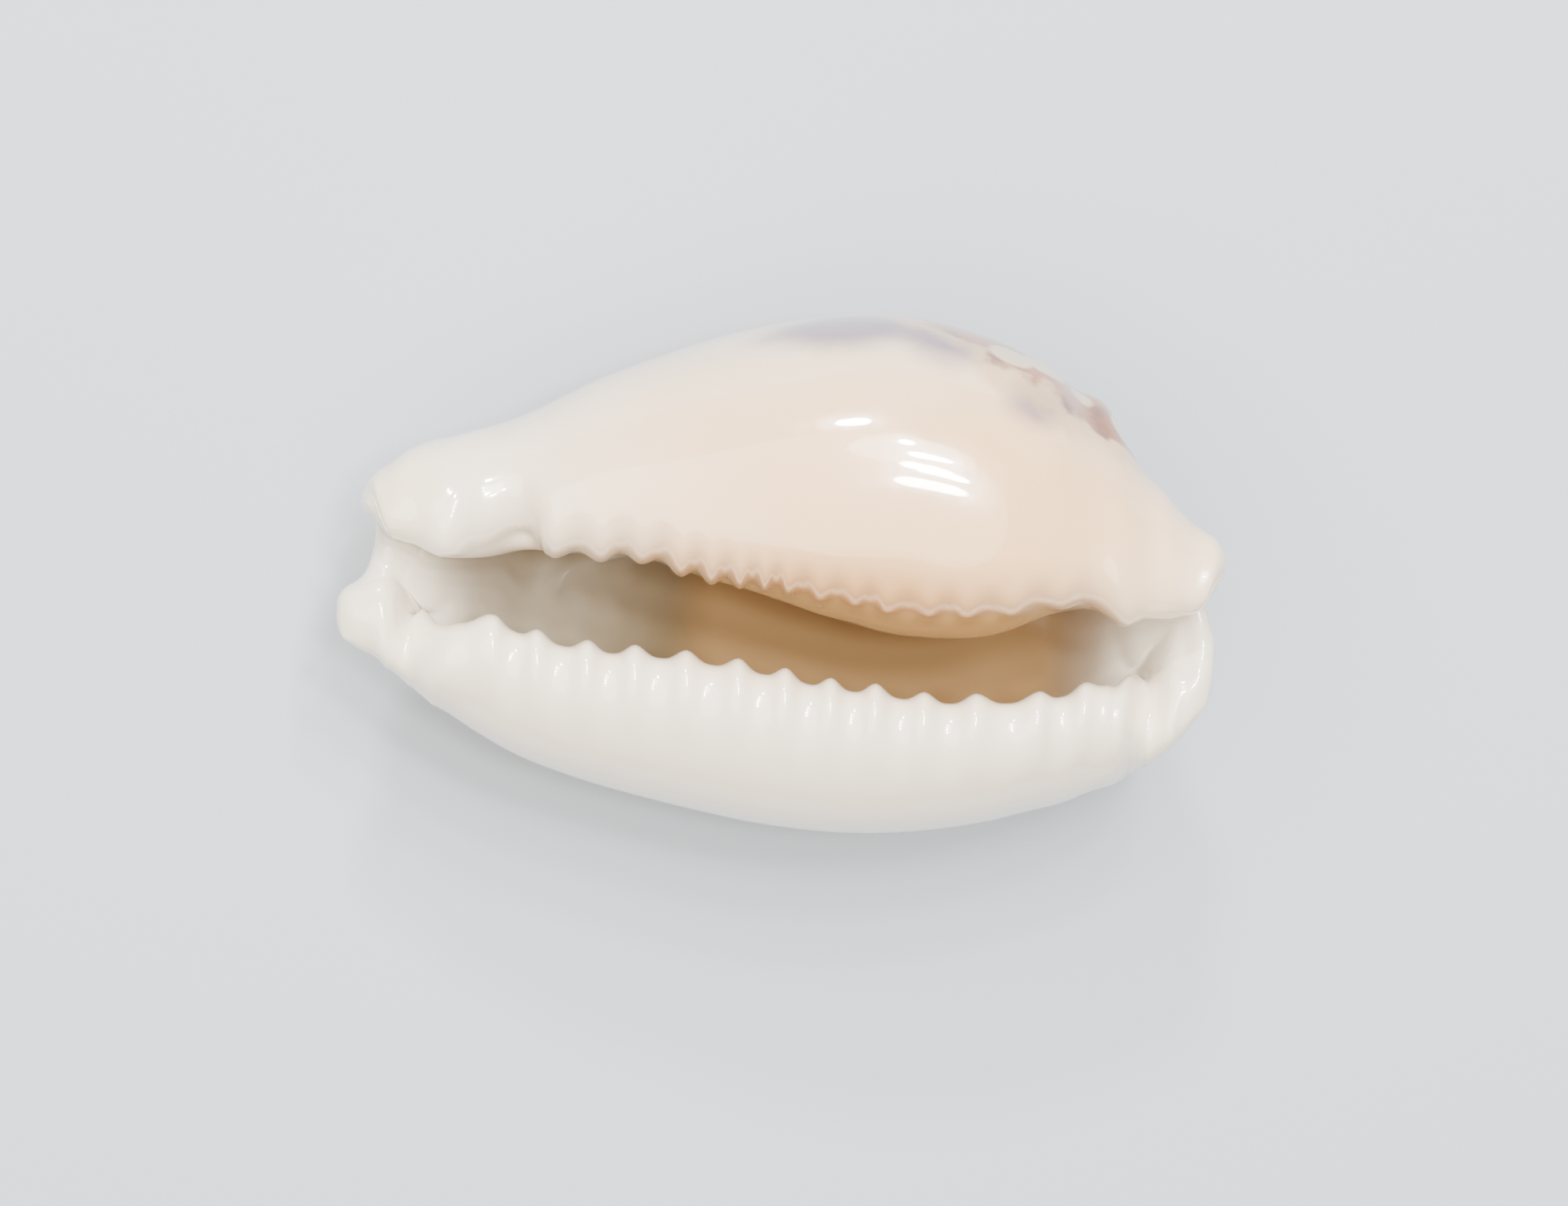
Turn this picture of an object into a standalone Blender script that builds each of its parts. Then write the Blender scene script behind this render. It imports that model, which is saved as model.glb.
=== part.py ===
# Cowrie shell, about 27 mm long, lying on its back with the slit of the mouth upwards.
# It grew as one coiled wall, so it is one closed solid made from one curled sheet with two faces.
# Frame: X along the shell (narrow front end at -X, spire end at +X), Z up, metres.

import math

import bmesh
import bpy
import numpy as np

MM = 0.001

# How the shell lies: rolled from flat on its back towards the outer lip, front end a little lower,
# and the depth in millimetres of the small flat it rests on.
ROLL = math.radians(8.0)
PITCH = math.radians(5.0)
REST_CUT = 0.38

# Number of cells across the curled wall: outer lip edge, body, roll of the inner lip, inner whorl.
N_EDGE, N_BODY, N_TURN, N_WHORL = 4, 23, 4, 6
STATIONS = 320
HALF = 13.6

# Every table below gives (distance along the shell, value) in millimetres or degrees.
# Centre of each cross section and its reach to the two sides, the back and the base.
MID_Y = [(-13.6, 0.75), (-12, 0.75), (-11, 0.5), (-10, 0.2), (-9, 0.05), (-8, -0.1), (-6, 0.0), (-4, 0.1),
         (0, 0.25), (4, 0.3), (8, 0.3), (10, 0.2), (11, 0.15), (12, 0.3), (13, 0.5), (13.6, 0.6)]
MID_Z = [(-13.6, 3.4), (-12, 3.1), (-11, 2.8), (-10, 2.5), (-8, 2.0), (-6, 1.6), (-4, 1.2), (0, 1.0),
         (4, 1.0), (7, 1.2), (8, 1.3), (9, 1.5), (10, 1.8), (11, 2.2), (12, 2.7), (13, 3.2), (13.6, 3.4)]
REACH_INNER = [(-13.6, 2.25), (-12.8, 2.42), (-12.4, 2.76), (-12, 3.05), (-11.5, 3.55), (-11, 3.91),
               (-10, 4.46), (-9, 4.75), (-8, 5.24), (-6, 6.13), (-4, 6.8), (-2, 7.43), (0, 7.9), (1.5, 8.13),
               (3, 8.23), (5, 7.95), (6, 7.7), (7, 7.35), (8, 6.89), (9, 5.9), (10, 5.14), (10.5, 4.7),
               (11, 4.28), (11.5, 3.9), (12, 3.36), (12.5, 2.9), (13, 2.7), (13.6, 2.35)]
REACH_OUTER = [(-13.6, 1.6), (-13, 1.85), (-12.5, 2.1), (-12, 2.4), (-11.5, 3.08), (-11, 3.8), (-10.5, 4.12),
               (-10, 4.24), (-9, 4.78), (-8, 5.24), (-6, 6.16), (-4, 6.86), (-2, 7.35), (0, 7.7), (3, 7.85),
               (5, 7.63), (7, 7.15), (8, 6.78), (9, 6.38), (10, 5.75), (10.5, 5.5), (11, 5.18), (11.5, 4.42),
               (12, 3.52), (12.5, 2.9), (12.75, 2.47), (13, 2.15), (13.6, 1.5)]
DEPTH_BACK = [(-13.6, 1.2), (-12, 1.75), (-11, 2.4), (-10, 3.2), (-8, 4.8), (-6, 5.9), (-4, 6.7), (-2, 7.3),
              (0, 7.7), (2.5, 7.95), (5, 7.7), (7, 7.0), (9, 5.6), (10, 4.6), (11, 3.4), (12, 2.3), (13, 1.6),
              (13.6, 1.2)]
HEIGHT_BASE = [(-13.6, 1.0), (-12, 1.6), (-11, 2.1), (-10, 2.6), (-8, 3.5), (-4, 4.7), (0, 5.2), (4, 5.2),
               (7, 4.9), (8, 4.6), (10, 3.6), (11, 2.9), (12, 2.2), (13, 1.5), (13.6, 1.0)]
SQUARE_BASE = [(-11, 2.3), (-8, 2.15), (0, 2.3), (8, 2.2), (11, 2.3)]
SQUARE_BACK = [(-11, 2.1), (0, 2.05), (11, 2.1)]

# Edges of the mouth: how far the inner lip and the tips of the outer lip's teeth reach over it.
INNER_LIP_Y = [(-13.4, 3.2), (-12.6, 3.0), (-12.25, 2.75), (-11.5, 2.0), (-11, 2.0), (-10.5, 2.2), (-10, 2.5),
               (-9.3, 2.68), (-8.6, 2.9), (-7.7, 3.0), (-6.86, 2.66), (-5.4, 2.49), (-4.2, 2.43), (-3, 1.97),
               (-2, 1.66), (-1.2, 1.52), (0.24, 1.25), (1.2, 1.02), (2.25, 0.88), (3.2, 0.68), (4.5, 0.63),
               (5.6, 0.69), (7, 0.9), (8.5, 1.35), (9.3, 1.6), (10, 1.6), (11.4, 1.1), (12, 1.1),
               (12.9, 1.45), (13.4, 2.0)]
OUTER_LIP_Y = [(-13.4, -1.7), (-10, -1.12), (-9.4, -0.95), (-8.55, -0.75), (-7.2, -1.07), (-5.66, -1.24),
               (-4.24, -1.26), (-2.68, -1.27), (-1.08, -1.37), (0.35, -1.57), (1.73, -1.82), (3.08, -1.93),
               (4.56, -2.17), (6.12, -2.16), (8.03, -2.12), (9.38, -1.87), (10.78, -1.73), (13.4, -1.8)]
OUTER_LIP_END_Y = [(-13.4, -0.3), (-12, -0.6), (-11.4, -0.75), (-11, -0.8), (-10.6, -0.85), (-10, -0.85),
                   (-9.4, -0.8), (-9, -0.75), (9, -1.7), (9.4, -1.63), (10, -1.62), (10.8, -1.7),
                   (11.2, -1.75), (11.6, -1.7), (12, -1.6), (13.4, -1.0)]

# Half of the wall's thickness at the outer lip, the inner lip and the rest of the wall.
LIP_OUTER = [(-13.4, 0.85), (-12.6, 0.95), (-12, 1.15), (-11.5, 1.35), (-11, 1.4), (-10.4, 1.22),
             (-9.8, 1.08), (-9.2, 1.02), (-7, 1.0), (0, 1.0), (8, 1.0), (9.4, 1.02), (10.1, 1.1),
             (10.6, 1.28), (11.1, 1.55), (11.5, 1.6), (12, 1.45), (12.5, 1.2), (13, 1.05), (13.4, 0.95)]
LIP_INNER = [(-13.4, 0.55), (-12.5, 0.65), (-11.5, 0.75), (-10, 0.82), (-6, 0.8), (0, 0.8), (8, 0.8),
             (10, 0.85), (11.5, 0.85), (12.5, 0.78), (13.4, 0.7)]
WALL = [(-13.4, 0.75), (-12.4, 0.85), (-11.8, 0.98), (-11, 1.15), (-10.3, 1.25), (-9.7, 1.15), (-9.1, 0.9),
        (-8.4, 0.68), (-7, 0.53), (-5, 0.5), (0, 0.5), (6, 0.5), (8, 0.52), (8.8, 0.62), (9.5, 0.92),
        (10.2, 1.3), (10.8, 1.42), (11.5, 1.25), (12.2, 1.0), (13.4, 0.8)]

# The inner lip rolls into the mouth, slopes down and carries on as the inner whorl.
ROLL_RADIUS = [(-10, 0.95), (-6, 1.0), (0, 1.15), (6, 1.2), (10, 1.05)]
ROLL_TURN = [(-10.5, 95), (-8, 95), (-5, 85), (-2, 66), (0, 52), (2, 46), (5, 44), (7, 48), (8.5, 60),
             (10, 85)]
SLOPE = [(-10, 0.1), (-7, 0.4), (-3, 0.8), (0, 1.1), (2, 1.4), (5, 1.5), (7, 1.3), (9, 0.8), (11, 0.2)]
WHORL_RADIUS = [(-10, 1.0), (-7, 1.8), (-3, 2.2), (3, 2.4), (7, 2.1), (10, 1.2)]
WHORL_TURN = [(-10.5, 5), (-8, 60), (-5, 120), (0, 160), (6, 160), (9, 100), (11, 10)]

# At both ends the tube opens into a shallow channel: how far each side curls round, in degrees.
CHANNEL_OUTER = [(-13.4, 50), (-12.6, 62), (-12, 82), (-11.4, 110), (-10.7, 145), (-10, 178), (-9.3, 207),
                 (0, 215), (9.6, 205), (10.2, 185), (10.9, 150), (11.6, 112), (12.2, 84), (12.8, 64),
                 (13.4, 50)]
CHANNEL_INNER = [(-13.4, 45), (-12.8, 65), (-12.4, 110), (-12.1, 150), (-11.7, 185), (-11.2, 205),
                 (-10.5, 225), (-9, 250), (0, 260), (10, 262), (11, 245), (12, 222), (12.6, 200), (13, 160),
                 (13.4, 120)]

# Outline of the two notched ends: (share of the way round the wall, distance along the shell).
RIM_FRONT = [(0, -13.1), (0.05, -13.34), (0.1, -13.39), (0.14, -13.33), (0.18, -13.24), (0.22, -13.08),
             (0.26, -12.85), (0.31, -12.62), (0.37, -12.48), (0.45, -12.37), (0.53, -12.35), (0.6, -12.42),
             (0.68, -12.54), (0.75, -12.66), (0.83, -12.76), (0.9, -12.78), (0.96, -12.72), (1, -12.6)]
RIM_SPIRE = [(0, 13.12), (0.05, 13.3), (0.1, 13.34), (0.18, 13.32), (0.26, 13.25), (0.31, 13.15),
             (0.37, 13.03), (0.43, 12.93), (0.5, 12.87), (0.58, 12.9), (0.65, 13.05), (0.72, 13.22),
             (0.8, 13.38), (0.87, 13.43), (0.93, 13.38), (0.97, 13.28), (1, 13.12)]

# Teeth of the two lips, by the place of each crest along the shell.
OUTER_TEETH = [-8.55, -7.2, -5.66, -4.24, -2.68, -1.08, 0.35, 1.73, 3.08, 4.56, 6.12, 8.03, 9.38, 10.78]
INNER_TEETH = [-6.87, -5.4, -4.2, -3.0, -2.07, -1.2, -0.45, 0.24, 1.2, 2.25, 3.22, 4.5, 5.63, 7.03, 8.5,
               10.0, 11.4]

# Blunt knob of the spire on the inner-lip side: place, bearing round the section, height and spread.
KNOB_X, KNOB_BEARING, KNOB_HEIGHT, KNOB_LENGTH, KNOB_WIDTH = 9.55, 250.0, 0.7, 0.8, 18.0

# Cells along the shell: the lines follow the teeth, these shares place the lines beyond the last teeth.
FRONT_OUTER = [0, 0.035, 0.12, 0.26, 0.42, 0.57, 0.72, 0.86]
FRONT_INNER = [0, 0.03, 0.1, 0.2, 0.31, 0.42, 0.53, 0.64, 0.76, 0.88]
SPIRE_OUTER = [0.28, 0.55, 0.78, 0.94, 1]
SPIRE_INNER = [0.2, 0.4, 0.58, 0.74, 0.87, 0.96, 1]


def curve(keys, x):
    """Smooth curve through the keys of a table."""
    kx = np.array([k[0] for k in keys], float)
    kv = np.array([k[1] for k in keys], float)
    h = np.diff(kx)
    d = np.diff(kv) / h
    m = np.concatenate([[d[0]], (d[:-1] * h[1:] + d[1:] * h[:-1]) / (h[1:] + h[:-1]), [d[-1]]])
    x = np.clip(np.asarray(x, float), kx[0], kx[-1])
    i = np.clip(np.searchsorted(kx, x) - 1, 0, len(kx) - 2)
    t = (x - kx[i]) / h[i]
    return ((2 * t**3 - 3 * t**2 + 1) * kv[i] + (t**3 - 2 * t**2 + t) * h[i] * m[i]
            + (-2 * t**3 + 3 * t**2) * kv[i + 1] + (t**3 - t**2) * h[i] * m[i + 1])


def fade(x, a, b):
    """Eased step from 0 at a to 1 at b."""
    t = np.clip((np.asarray(x, float) - a) / (b - a), 0, 1)
    return t * t * (3 - 2 * t)


def teeth(crests, x, sharpness):
    """1 on each crest, 0 halfway between two crests."""
    k = np.interp(x, crests, np.arange(len(crests)))
    return float((0.5 + 0.5 * math.cos(2 * math.pi * k)) ** sharpness)


def walk(y, z, heading, length):
    """Points of a curve that starts at (y, z) and follows the headings in equal steps."""
    step = length / (len(heading) - 1)
    h = (heading[1:] + heading[:-1]) / 2
    return (y + np.concatenate([[0], np.cumsum(np.cos(h))]) * step,
            z + np.concatenate([[0], np.cumsum(np.sin(h))]) * step)


def arc_length(y, z):
    return np.concatenate([[0], np.cumsum(np.hypot(np.diff(y), np.diff(z)))])


FINE_EDGE, FINE_BODY, FINE_ROLL = 60, 160, 160


def closed_section(x, tooth):
    """Middle of the shell: an egg-shaped wall, the outer lip bent over the mouth, the inner lip rolled in."""
    u = np.radians(np.linspace(0.0, 360.0, 1441))
    s, c = np.sin(u), np.cos(u)
    right, left = curve(REACH_OUTER, x), curve(REACH_INNER, x)
    base, back = curve(HEIGHT_BASE, x), curve(DEPTH_BACK, x)
    square_base, square_back = curve(SQUARE_BASE, x), curve(SQUARE_BACK, x)
    a = (right + left) / 2 + (right - left) / 2 * s
    b = (base + back) / 2 + (base - back) / 2 * c
    p = (square_base + square_back) / 2 + (square_base - square_back) / 2 * c
    r = (np.abs(s / a) ** p + np.abs(c / b) ** p) ** (-1 / p)
    oy, oz = curve(MID_Y, x) - r * s, curve(MID_Z, x) + r * c
    wl, wc, wall = curve(LIP_OUTER, x), curve(LIP_INNER, x), curve(WALL, x)
    rho = curve(ROLL_RADIUS, x)

    # the run of the wall's middle from the crest of the outer lip to the crest of the inner lip
    u_l = np.interp(-(curve(OUTER_LIP_Y, x) - 1.45 - wl), -oy[:361], u[:361])
    u_c = np.interp(-(curve(INNER_LIP_Y, x) + wc + rho), -oy[1080:], u[1080:])
    uu = np.linspace(u_l, u_c, 600)
    by, bz = np.interp(uu, u, oy), np.interp(uu, u, oz)
    ty, tz = np.gradient(by), np.gradient(bz)
    size = np.hypot(ty, tz)
    ny, nz = -tz / size, ty / size
    if ny[300] * (by[300] - curve(MID_Y, x)) + nz[300] * (bz[300] - curve(MID_Z, x)) < 0:
        ny, nz = -ny, -nz
    f = arc_length(by, bz)
    f = f / f[-1]
    w = curve([(0, wl), (0.09, wl * 0.97), (0.2, (wl + wall) / 2 - 0.05), (0.35, wall), (0.55, wall * 0.95),
               (0.75, wall), (0.9, (wc + wall) / 2), (1, wc)], f)
    my, mz = by - w * ny, bz - w * nz

    # both halves as turnings from the lowest point
    k = int(np.argmin(mz))

    def half(yy, zz, ww, sign):
        arc = arc_length(yy, zz)
        q = np.linspace(0, arc[-1], FINE_BODY)
        yq, zq = np.interp(q, arc, yy), np.interp(q, arc, zz)
        heading = np.unwrap(np.arctan2(np.gradient(zq), np.gradient(yq)))
        turn = heading if sign > 0 else math.pi - heading
        turn = turn - 2 * math.pi * round(float(turn[3]) / (2 * math.pi))
        return turn, arc[-1], np.interp(q, arc, ww)

    outer = half(my[:k + 1][::-1], mz[:k + 1][::-1], w[:k + 1][::-1], -1)
    inner = half(my[k:], mz[k:], w[k:], 1)

    # outer lip's edge, tucked a little into the mouth, longer on each tooth
    edge = 1.1 + 0.35 * tooth + wl
    s_edge = np.linspace(0, edge, FINE_EDGE)
    edge_turn = outer[0][-1] + math.radians(54) * fade(s_edge, 0, edge)

    # inner lip's roll, slope and whorl
    turn, whorl = math.radians(curve(ROLL_TURN, x)), math.radians(curve(WHORL_TURN, x))
    l1, l2, l3 = rho * turn * 1.25, curve(SLOPE, x), curve(WHORL_RADIUS, x) * whorl
    n = FINE_ROLL // 3
    sg = np.concatenate([np.linspace(0, l1, n + 1)[:-1], np.linspace(l1, l1 + l2 + l3, FINE_ROLL - n)])
    roll_turn = inner[0][-1] + turn * fade(sg, 0, l1) + whorl * np.clip((sg - l1 - l2) / max(l3, 1e-6), 0, 1)
    thin = float(fade(math.degrees(whorl), 5, 60))
    roll_w = wc + (0.42 - wc) * fade(sg, l1 * 0.6, l1 + l2 + 1.0) * thin
    return dict(y=my[k], z=mz[k], outer=outer, edge=(edge_turn, edge, np.full(FINE_EDGE, wl)), inner=inner,
                roll=(roll_turn, l1, l2 + l3, roll_w))


def channel_section(x, tooth):
    """Ends of the shell: a shallow channel whose two sides curl up round it."""
    wl, wc, wf = curve(LIP_OUTER, x), curve(LIP_INNER, x), curve(WALL, x)
    mid_y, mid_z = curve(MID_Y, x), curve(MID_Z, x)
    turn_l, turn_c = math.radians(curve(CHANNEL_OUTER, x)), math.radians(curve(CHANNEL_INNER, x))
    floor = mid_z - curve(DEPTH_BACK, x) + wf
    rise = mid_z + curve(HEIGHT_BASE, x) - floor

    # outer side: an arc and a straight end, solved for the height and the reach of the lip
    a = min(turn_l, math.pi)
    start = mid_y - curve(REACH_OUTER, x) + wl
    height = rise - wl * (0.2 + 0.8 * abs(math.cos(a)))
    reach = curve(OUTER_LIP_END_Y, x) + 0.35 * tooth - wl * (1 + math.cos(a)) - start
    top = ((1 - math.cos(a)) * reach - (1 - math.sin(a)) * height) / max(1 - math.cos(a) - math.sin(a), 0.2)
    top = min(max(top, 0.0), 3.0) * float(fade(a, math.radians(108), math.radians(135)))
    radius = min(max((height - top * math.sin(a)) / (1 - math.cos(a)), 0.9), 4.0)
    flat = 0.4
    bend = radius * a
    length = flat + radius * turn_l + top
    edge = max(0.35, min(0.6 + wl + 0.35 * tooth, length * 0.4))

    def turning(q):
        rest = max(turn_l - math.pi, 0) * np.clip((q - flat - bend) / max(length - flat - bend, 1e-3), 0, 1)
        return np.clip((q - flat) / radius, 0, a) + rest

    def thick(q):
        return wf + (wl - wf) * fade(q, 0.1, flat + bend * 0.5)

    q1, q2 = np.linspace(0, length - edge, FINE_BODY), np.linspace(length - edge, length, FINE_EDGE)
    outer = (turning(q1), length - edge, thick(q1))
    lip = (turning(q2), edge, thick(q2))

    # inner side: a half turn and a run back over the channel
    radius_c = max(0.5 * (rise - wc), 0.5)
    b = min(turn_c, math.pi)
    l0 = flat + radius_c * b
    sg = np.linspace(0, l0, FINE_BODY)
    inner = (np.clip((sg - flat) / radius_c, 0, b), l0, wf + (wc - wf) * fade(sg, 0.1, l0 * 0.45))
    run = max(0.45, mid_y + curve(REACH_INNER, x) - wc - radius_c - curve(INNER_LIP_Y, x) + 0.1)
    n = FINE_ROLL // 3
    q = np.concatenate([np.linspace(0, run / 2, n + 1)[:-1], np.linspace(run / 2, run, FINE_ROLL - n)])
    roll_turn = b + (turn_c - b) * fade(q, max(0, run - 1.2), run)
    return dict(y=mid_y, z=floor, outer=outer, edge=lip, inner=inner,
                roll=(roll_turn, run / 2, run / 2, np.full(FINE_ROLL, wc)))


def section(x, counts):
    """Middle line of the wall at x with its outward direction and half thickness on both faces."""
    n_edge, n_body, n_turn, n_whorl = counts
    tooth = teeth(OUTER_TEETH, x, 1.6) * float(fade(x, -9.5, -8.7) * (1 - fade(x, 10.2, 11.6)))
    ridge = teeth(INNER_TEETH, x, 1.0) * float(fade(x, -7.5, -7.0) * (1 - 0.75 * fade(x, 9.2, 9.8))
                                              * (1 - fade(x, 11.3, 12)))
    dent = 0.95 * float(fade(x, -8.75, -7.8) * (1 - fade(x, -7.55, -7.0)))
    e = max(float(fade(x, -9.0, -11.2)), float(fade(x, 9.4, 11.4)))
    one, two = closed_section(x, tooth), channel_section(x, tooth)

    def mix(name):
        return [(1 - e) * np.asarray(p) + e * np.asarray(q) for p, q in zip(one[name], two[name])]

    y0, z0 = (1 - e) * one['y'] + e * two['y'], (1 - e) * one['z'] + e * two['z']
    mid_y = curve(MID_Y, x)
    (lt, ll, lw), (et, el, ew) = mix('outer'), mix('edge')
    (ct, lc, cw), (rt, l1, l2, rw) = mix('inner'), mix('roll')
    n = FINE_ROLL // 3

    # each side is walked from the lowest point and set out to its full reach
    ly, lz = walk(y0, z0, math.pi - lt, float(ll))
    cy, cz = walk(y0, z0, ct, float(lc))
    if e > 0:
        q = np.clip((ll - np.linspace(0, ll, FINE_BODY) + el) / lw, 0, 1)
        ly = ly + mid_y - curve(REACH_OUTER, x) - (ly - np.sin(lt) * lw * np.sqrt(1 - (1 - q) ** 2)).min()
        cy = cy + mid_y + curve(REACH_INNER, x) - (cy + np.sin(ct) * cw).max()
    ey, ez = walk(ly[-1], lz[-1], math.pi - et, float(el))
    r1y, r1z = walk(cy[-1], cz[-1], rt[:n + 1], float(l1))
    r2y, r2z = walk(r1y[-1], r1z[-1], rt[n:], float(l2))
    y = np.concatenate([ey[::-1], ly[::-1][1:], cy[1:], r1y[1:], r2y[1:]])
    z = np.concatenate([ez[::-1], lz[::-1][1:], cz[1:], r1z[1:], r2z[1:]])
    w = np.concatenate([ew[::-1], lw[::-1][1:], cw[1:], rw[:n + 1][1:], rw[n:][1:]])
    arc = arc_length(y, z)
    bottom = len(ey) + len(ly) - 2
    crest = bottom + len(cy) - 1
    edge_len, crest_at, turn_len = arc[len(ey) - 1], arc[crest], arc[crest + n] - arc[crest]
    whorl_len = arc[-1] - crest_at - turn_len

    def outward(y, z):
        gy, gz = np.gradient(y, arc), np.gradient(z, arc)
        size = np.hypot(gy, gz)
        ny, nz = gz / size, -gy / size
        return (ny, nz) if nz[bottom] < 0 else (-ny, -nz)

    # spire knob
    ny, nz = outward(y, z)
    bearing = np.degrees(np.arctan2(-(y - mid_y), z - curve(MID_Z, x))) % 360
    spread = ((x - KNOB_X) / KNOB_LENGTH) ** 2 + ((bearing - KNOB_BEARING) / KNOB_WIDTH) ** 2
    bump = KNOB_HEIGHT * np.exp(-spread)
    bump = bump * (arc < crest_at - 0.5)
    y, z = y + bump * ny, z + bump * nz

    # ribs on the outer lip, ridges and the dent on the inner lip
    ribbed = float(fade(x, -9.6, -8.8) * (1 - fade(x, 10.0, 11.0)))
    w = w + 0.14 * (tooth - 0.35) * (1 - fade(arc, 0.7, 2.3)) * ribbed
    k = arc - crest_at
    along = fade(k, turn_len * 0.2, turn_len * 0.7) * (1 - fade(k, turn_len * 0.95, turn_len + 0.7))
    height = 0.30 - 0.10 * float(fade(x, -2, 1))
    w = w + along * (height * (ridge - 0.3 * float(fade(x, -7.5, -7.0))) - dent * 0.35)

    # the inner face stays clear of the centre of each bend
    bend = np.abs(np.gradient(np.unwrap(np.arctan2(np.gradient(z, arc), np.gradient(y, arc))), arc))
    even = np.linspace(0, arc[-1], 1200)
    m = max(1, int(0.3 / even[1]))
    bend = np.pad(np.interp(even, arc, bend), m, mode='edge')
    bend = np.convolve(bend, np.ones(2 * m + 1) / (2 * m + 1), 'valid')
    w_in = w / (1 + (np.interp(arc, even, bend) * w / 0.8) ** 4) ** 0.25
    ny, nz = outward(y, z)

    # round both edges of the sheet
    def cap(w):
        d0, d1 = np.clip(arc / w, 0, 1), np.clip((arc[-1] - arc) / w, 0, 1)
        return w * np.sqrt((1 - (1 - d0) ** 2) * (1 - (1 - d1) ** 2))

    q = np.concatenate([edge_len * (np.arange(n_edge) / n_edge) ** 1.6,
                        edge_len + np.arange(n_body) / n_body * (crest_at - edge_len),
                        crest_at + np.arange(n_turn) / n_turn * turn_len,
                        crest_at + turn_len + np.linspace(0, 1, n_whorl) ** 0.9 * whorl_len])
    return [np.interp(q, arc, v) for v in (y, z, ny, nz, cap(w), cap(w) * w_in / w, w)]


def station_lines(shares, fine):
    """Distance along the shell of every cell corner, following the teeth at both lips."""
    rim_a, rim_b = curve(RIM_FRONT, shares), curve(RIM_SPIRE, shares)

    def side(front, per_tooth, crests, end, a, b):
        k = np.arange((len(crests) - 1) * per_tooth + 1) / per_tooth
        middle = np.interp(k, np.arange(len(crests)), crests)
        return np.concatenate([a + (crests[0] - a) * np.array(front), middle,
                               crests[-1] + (b - crests[-1]) * np.array(end)])

    outer = side(FRONT_OUTER, 4, OUTER_TEETH, SPIRE_OUTER, rim_a[0], rim_b[0])
    inner = side(FRONT_INNER, 3, INNER_TEETH, SPIRE_INNER, rim_a[-1], rim_b[-1])
    back = (outer + inner) / 2
    index = np.arange(len(outer) * fine - fine + 1) / fine
    outer, inner, back = (np.interp(index, np.arange(len(v)), v) for v in (outer, inner, back))
    near_outer, near_inner = 1 - fade(shares, 0.08, 0.35), fade(shares, 0.6, 0.88)
    x = (outer[:, None] * near_outer + inner[:, None] * near_inner
         + back[:, None] * (1 - near_outer - near_inner))
    shift_a, shift_b = rim_a - x[0], rim_b - x[-1]
    return (x + shift_a * np.clip(1 - (x - x[0]) / 4.0, 0, 1)
            + shift_b * np.clip(1 - (x[-1] - x) / 2.5, 0, 1))


def sheet(counts, fine):
    """Corner grids of the wall's outer and inner face in millimetres."""
    n_edge, n_body, n_turn, n_whorl = counts
    xs = np.linspace(-HALF, HALF, STATIONS)
    table = np.array([np.stack(section(float(x), counts), axis=1) for x in xs])
    shares = np.concatenate([np.linspace(0, 0.10, n_edge, endpoint=False),
                             np.linspace(0.10, 0.9, n_body, endpoint=False),
                             np.linspace(0.9, 0.97, n_turn, endpoint=False),
                             np.linspace(0.97, 1, n_whorl)])
    x = station_lines(shares, fine)
    at = np.zeros(x.shape + (table.shape[2],))
    for j in range(x.shape[1]):
        for c in range(table.shape[2]):
            at[:, j, c] = np.interp(x[:, j], xs, table[:, j, c])
    middle = np.stack([x, at[:, :, 0], at[:, :, 1]], axis=-1)
    normal = np.stack([np.zeros_like(x), at[:, :, 2], at[:, :, 3]], axis=-1)
    normal = normal / np.linalg.norm(normal, axis=2, keepdims=True)

    # both notched ends are rounded like the lips
    along = np.concatenate([np.zeros((1, x.shape[1])),
                            np.cumsum(np.linalg.norm(np.diff(middle, axis=0), axis=2), axis=0)])
    ds, dt = np.gradient(middle, axis=0), np.gradient(middle, axis=1)
    w = at[:, :, 6]
    ends = np.ones_like(x)
    for row, distance in ((0, along), (-1, along[-1:] - along)):
        angle = np.linalg.norm(np.cross(ds[row], dt[row]), axis=-1)
        angle = angle / (np.linalg.norm(ds[row], axis=-1) * np.linalg.norm(dt[row], axis=-1) + 1e-12)
        ends = ends * np.sqrt(1 - (1 - np.clip(distance * angle / w, 0, 1)) ** 2)
    return (middle + normal * (at[:, :, 4] * ends)[..., None],
            middle - normal * (at[:, :, 5] * ends)[..., None])


def lay_down(grids):
    """Turn the shell on its back and centre it over the origin, the lowest point just under the floor."""
    cr, sr, cp, sp = math.cos(ROLL), math.sin(ROLL), math.cos(PITCH), math.sin(PITCH)
    laid = []
    for g in grids:
        x, y, z = g[..., 0], g[..., 1] * cr - g[..., 2] * sr, g[..., 1] * sr + g[..., 2] * cr
        laid.append(np.stack([x * cp - z * sp, y, x * sp + z * cp], axis=-1))
    points = np.concatenate([g.reshape(-1, 3) for g in laid])
    low, high = points.min(axis=0), points.max(axis=0)
    shift = np.array([-(low[0] + high[0]) / 2, -(low[1] + high[1]) / 2, -(low[2] + REST_CUT)])
    return [(g + shift) * MM for g in laid], shift


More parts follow.
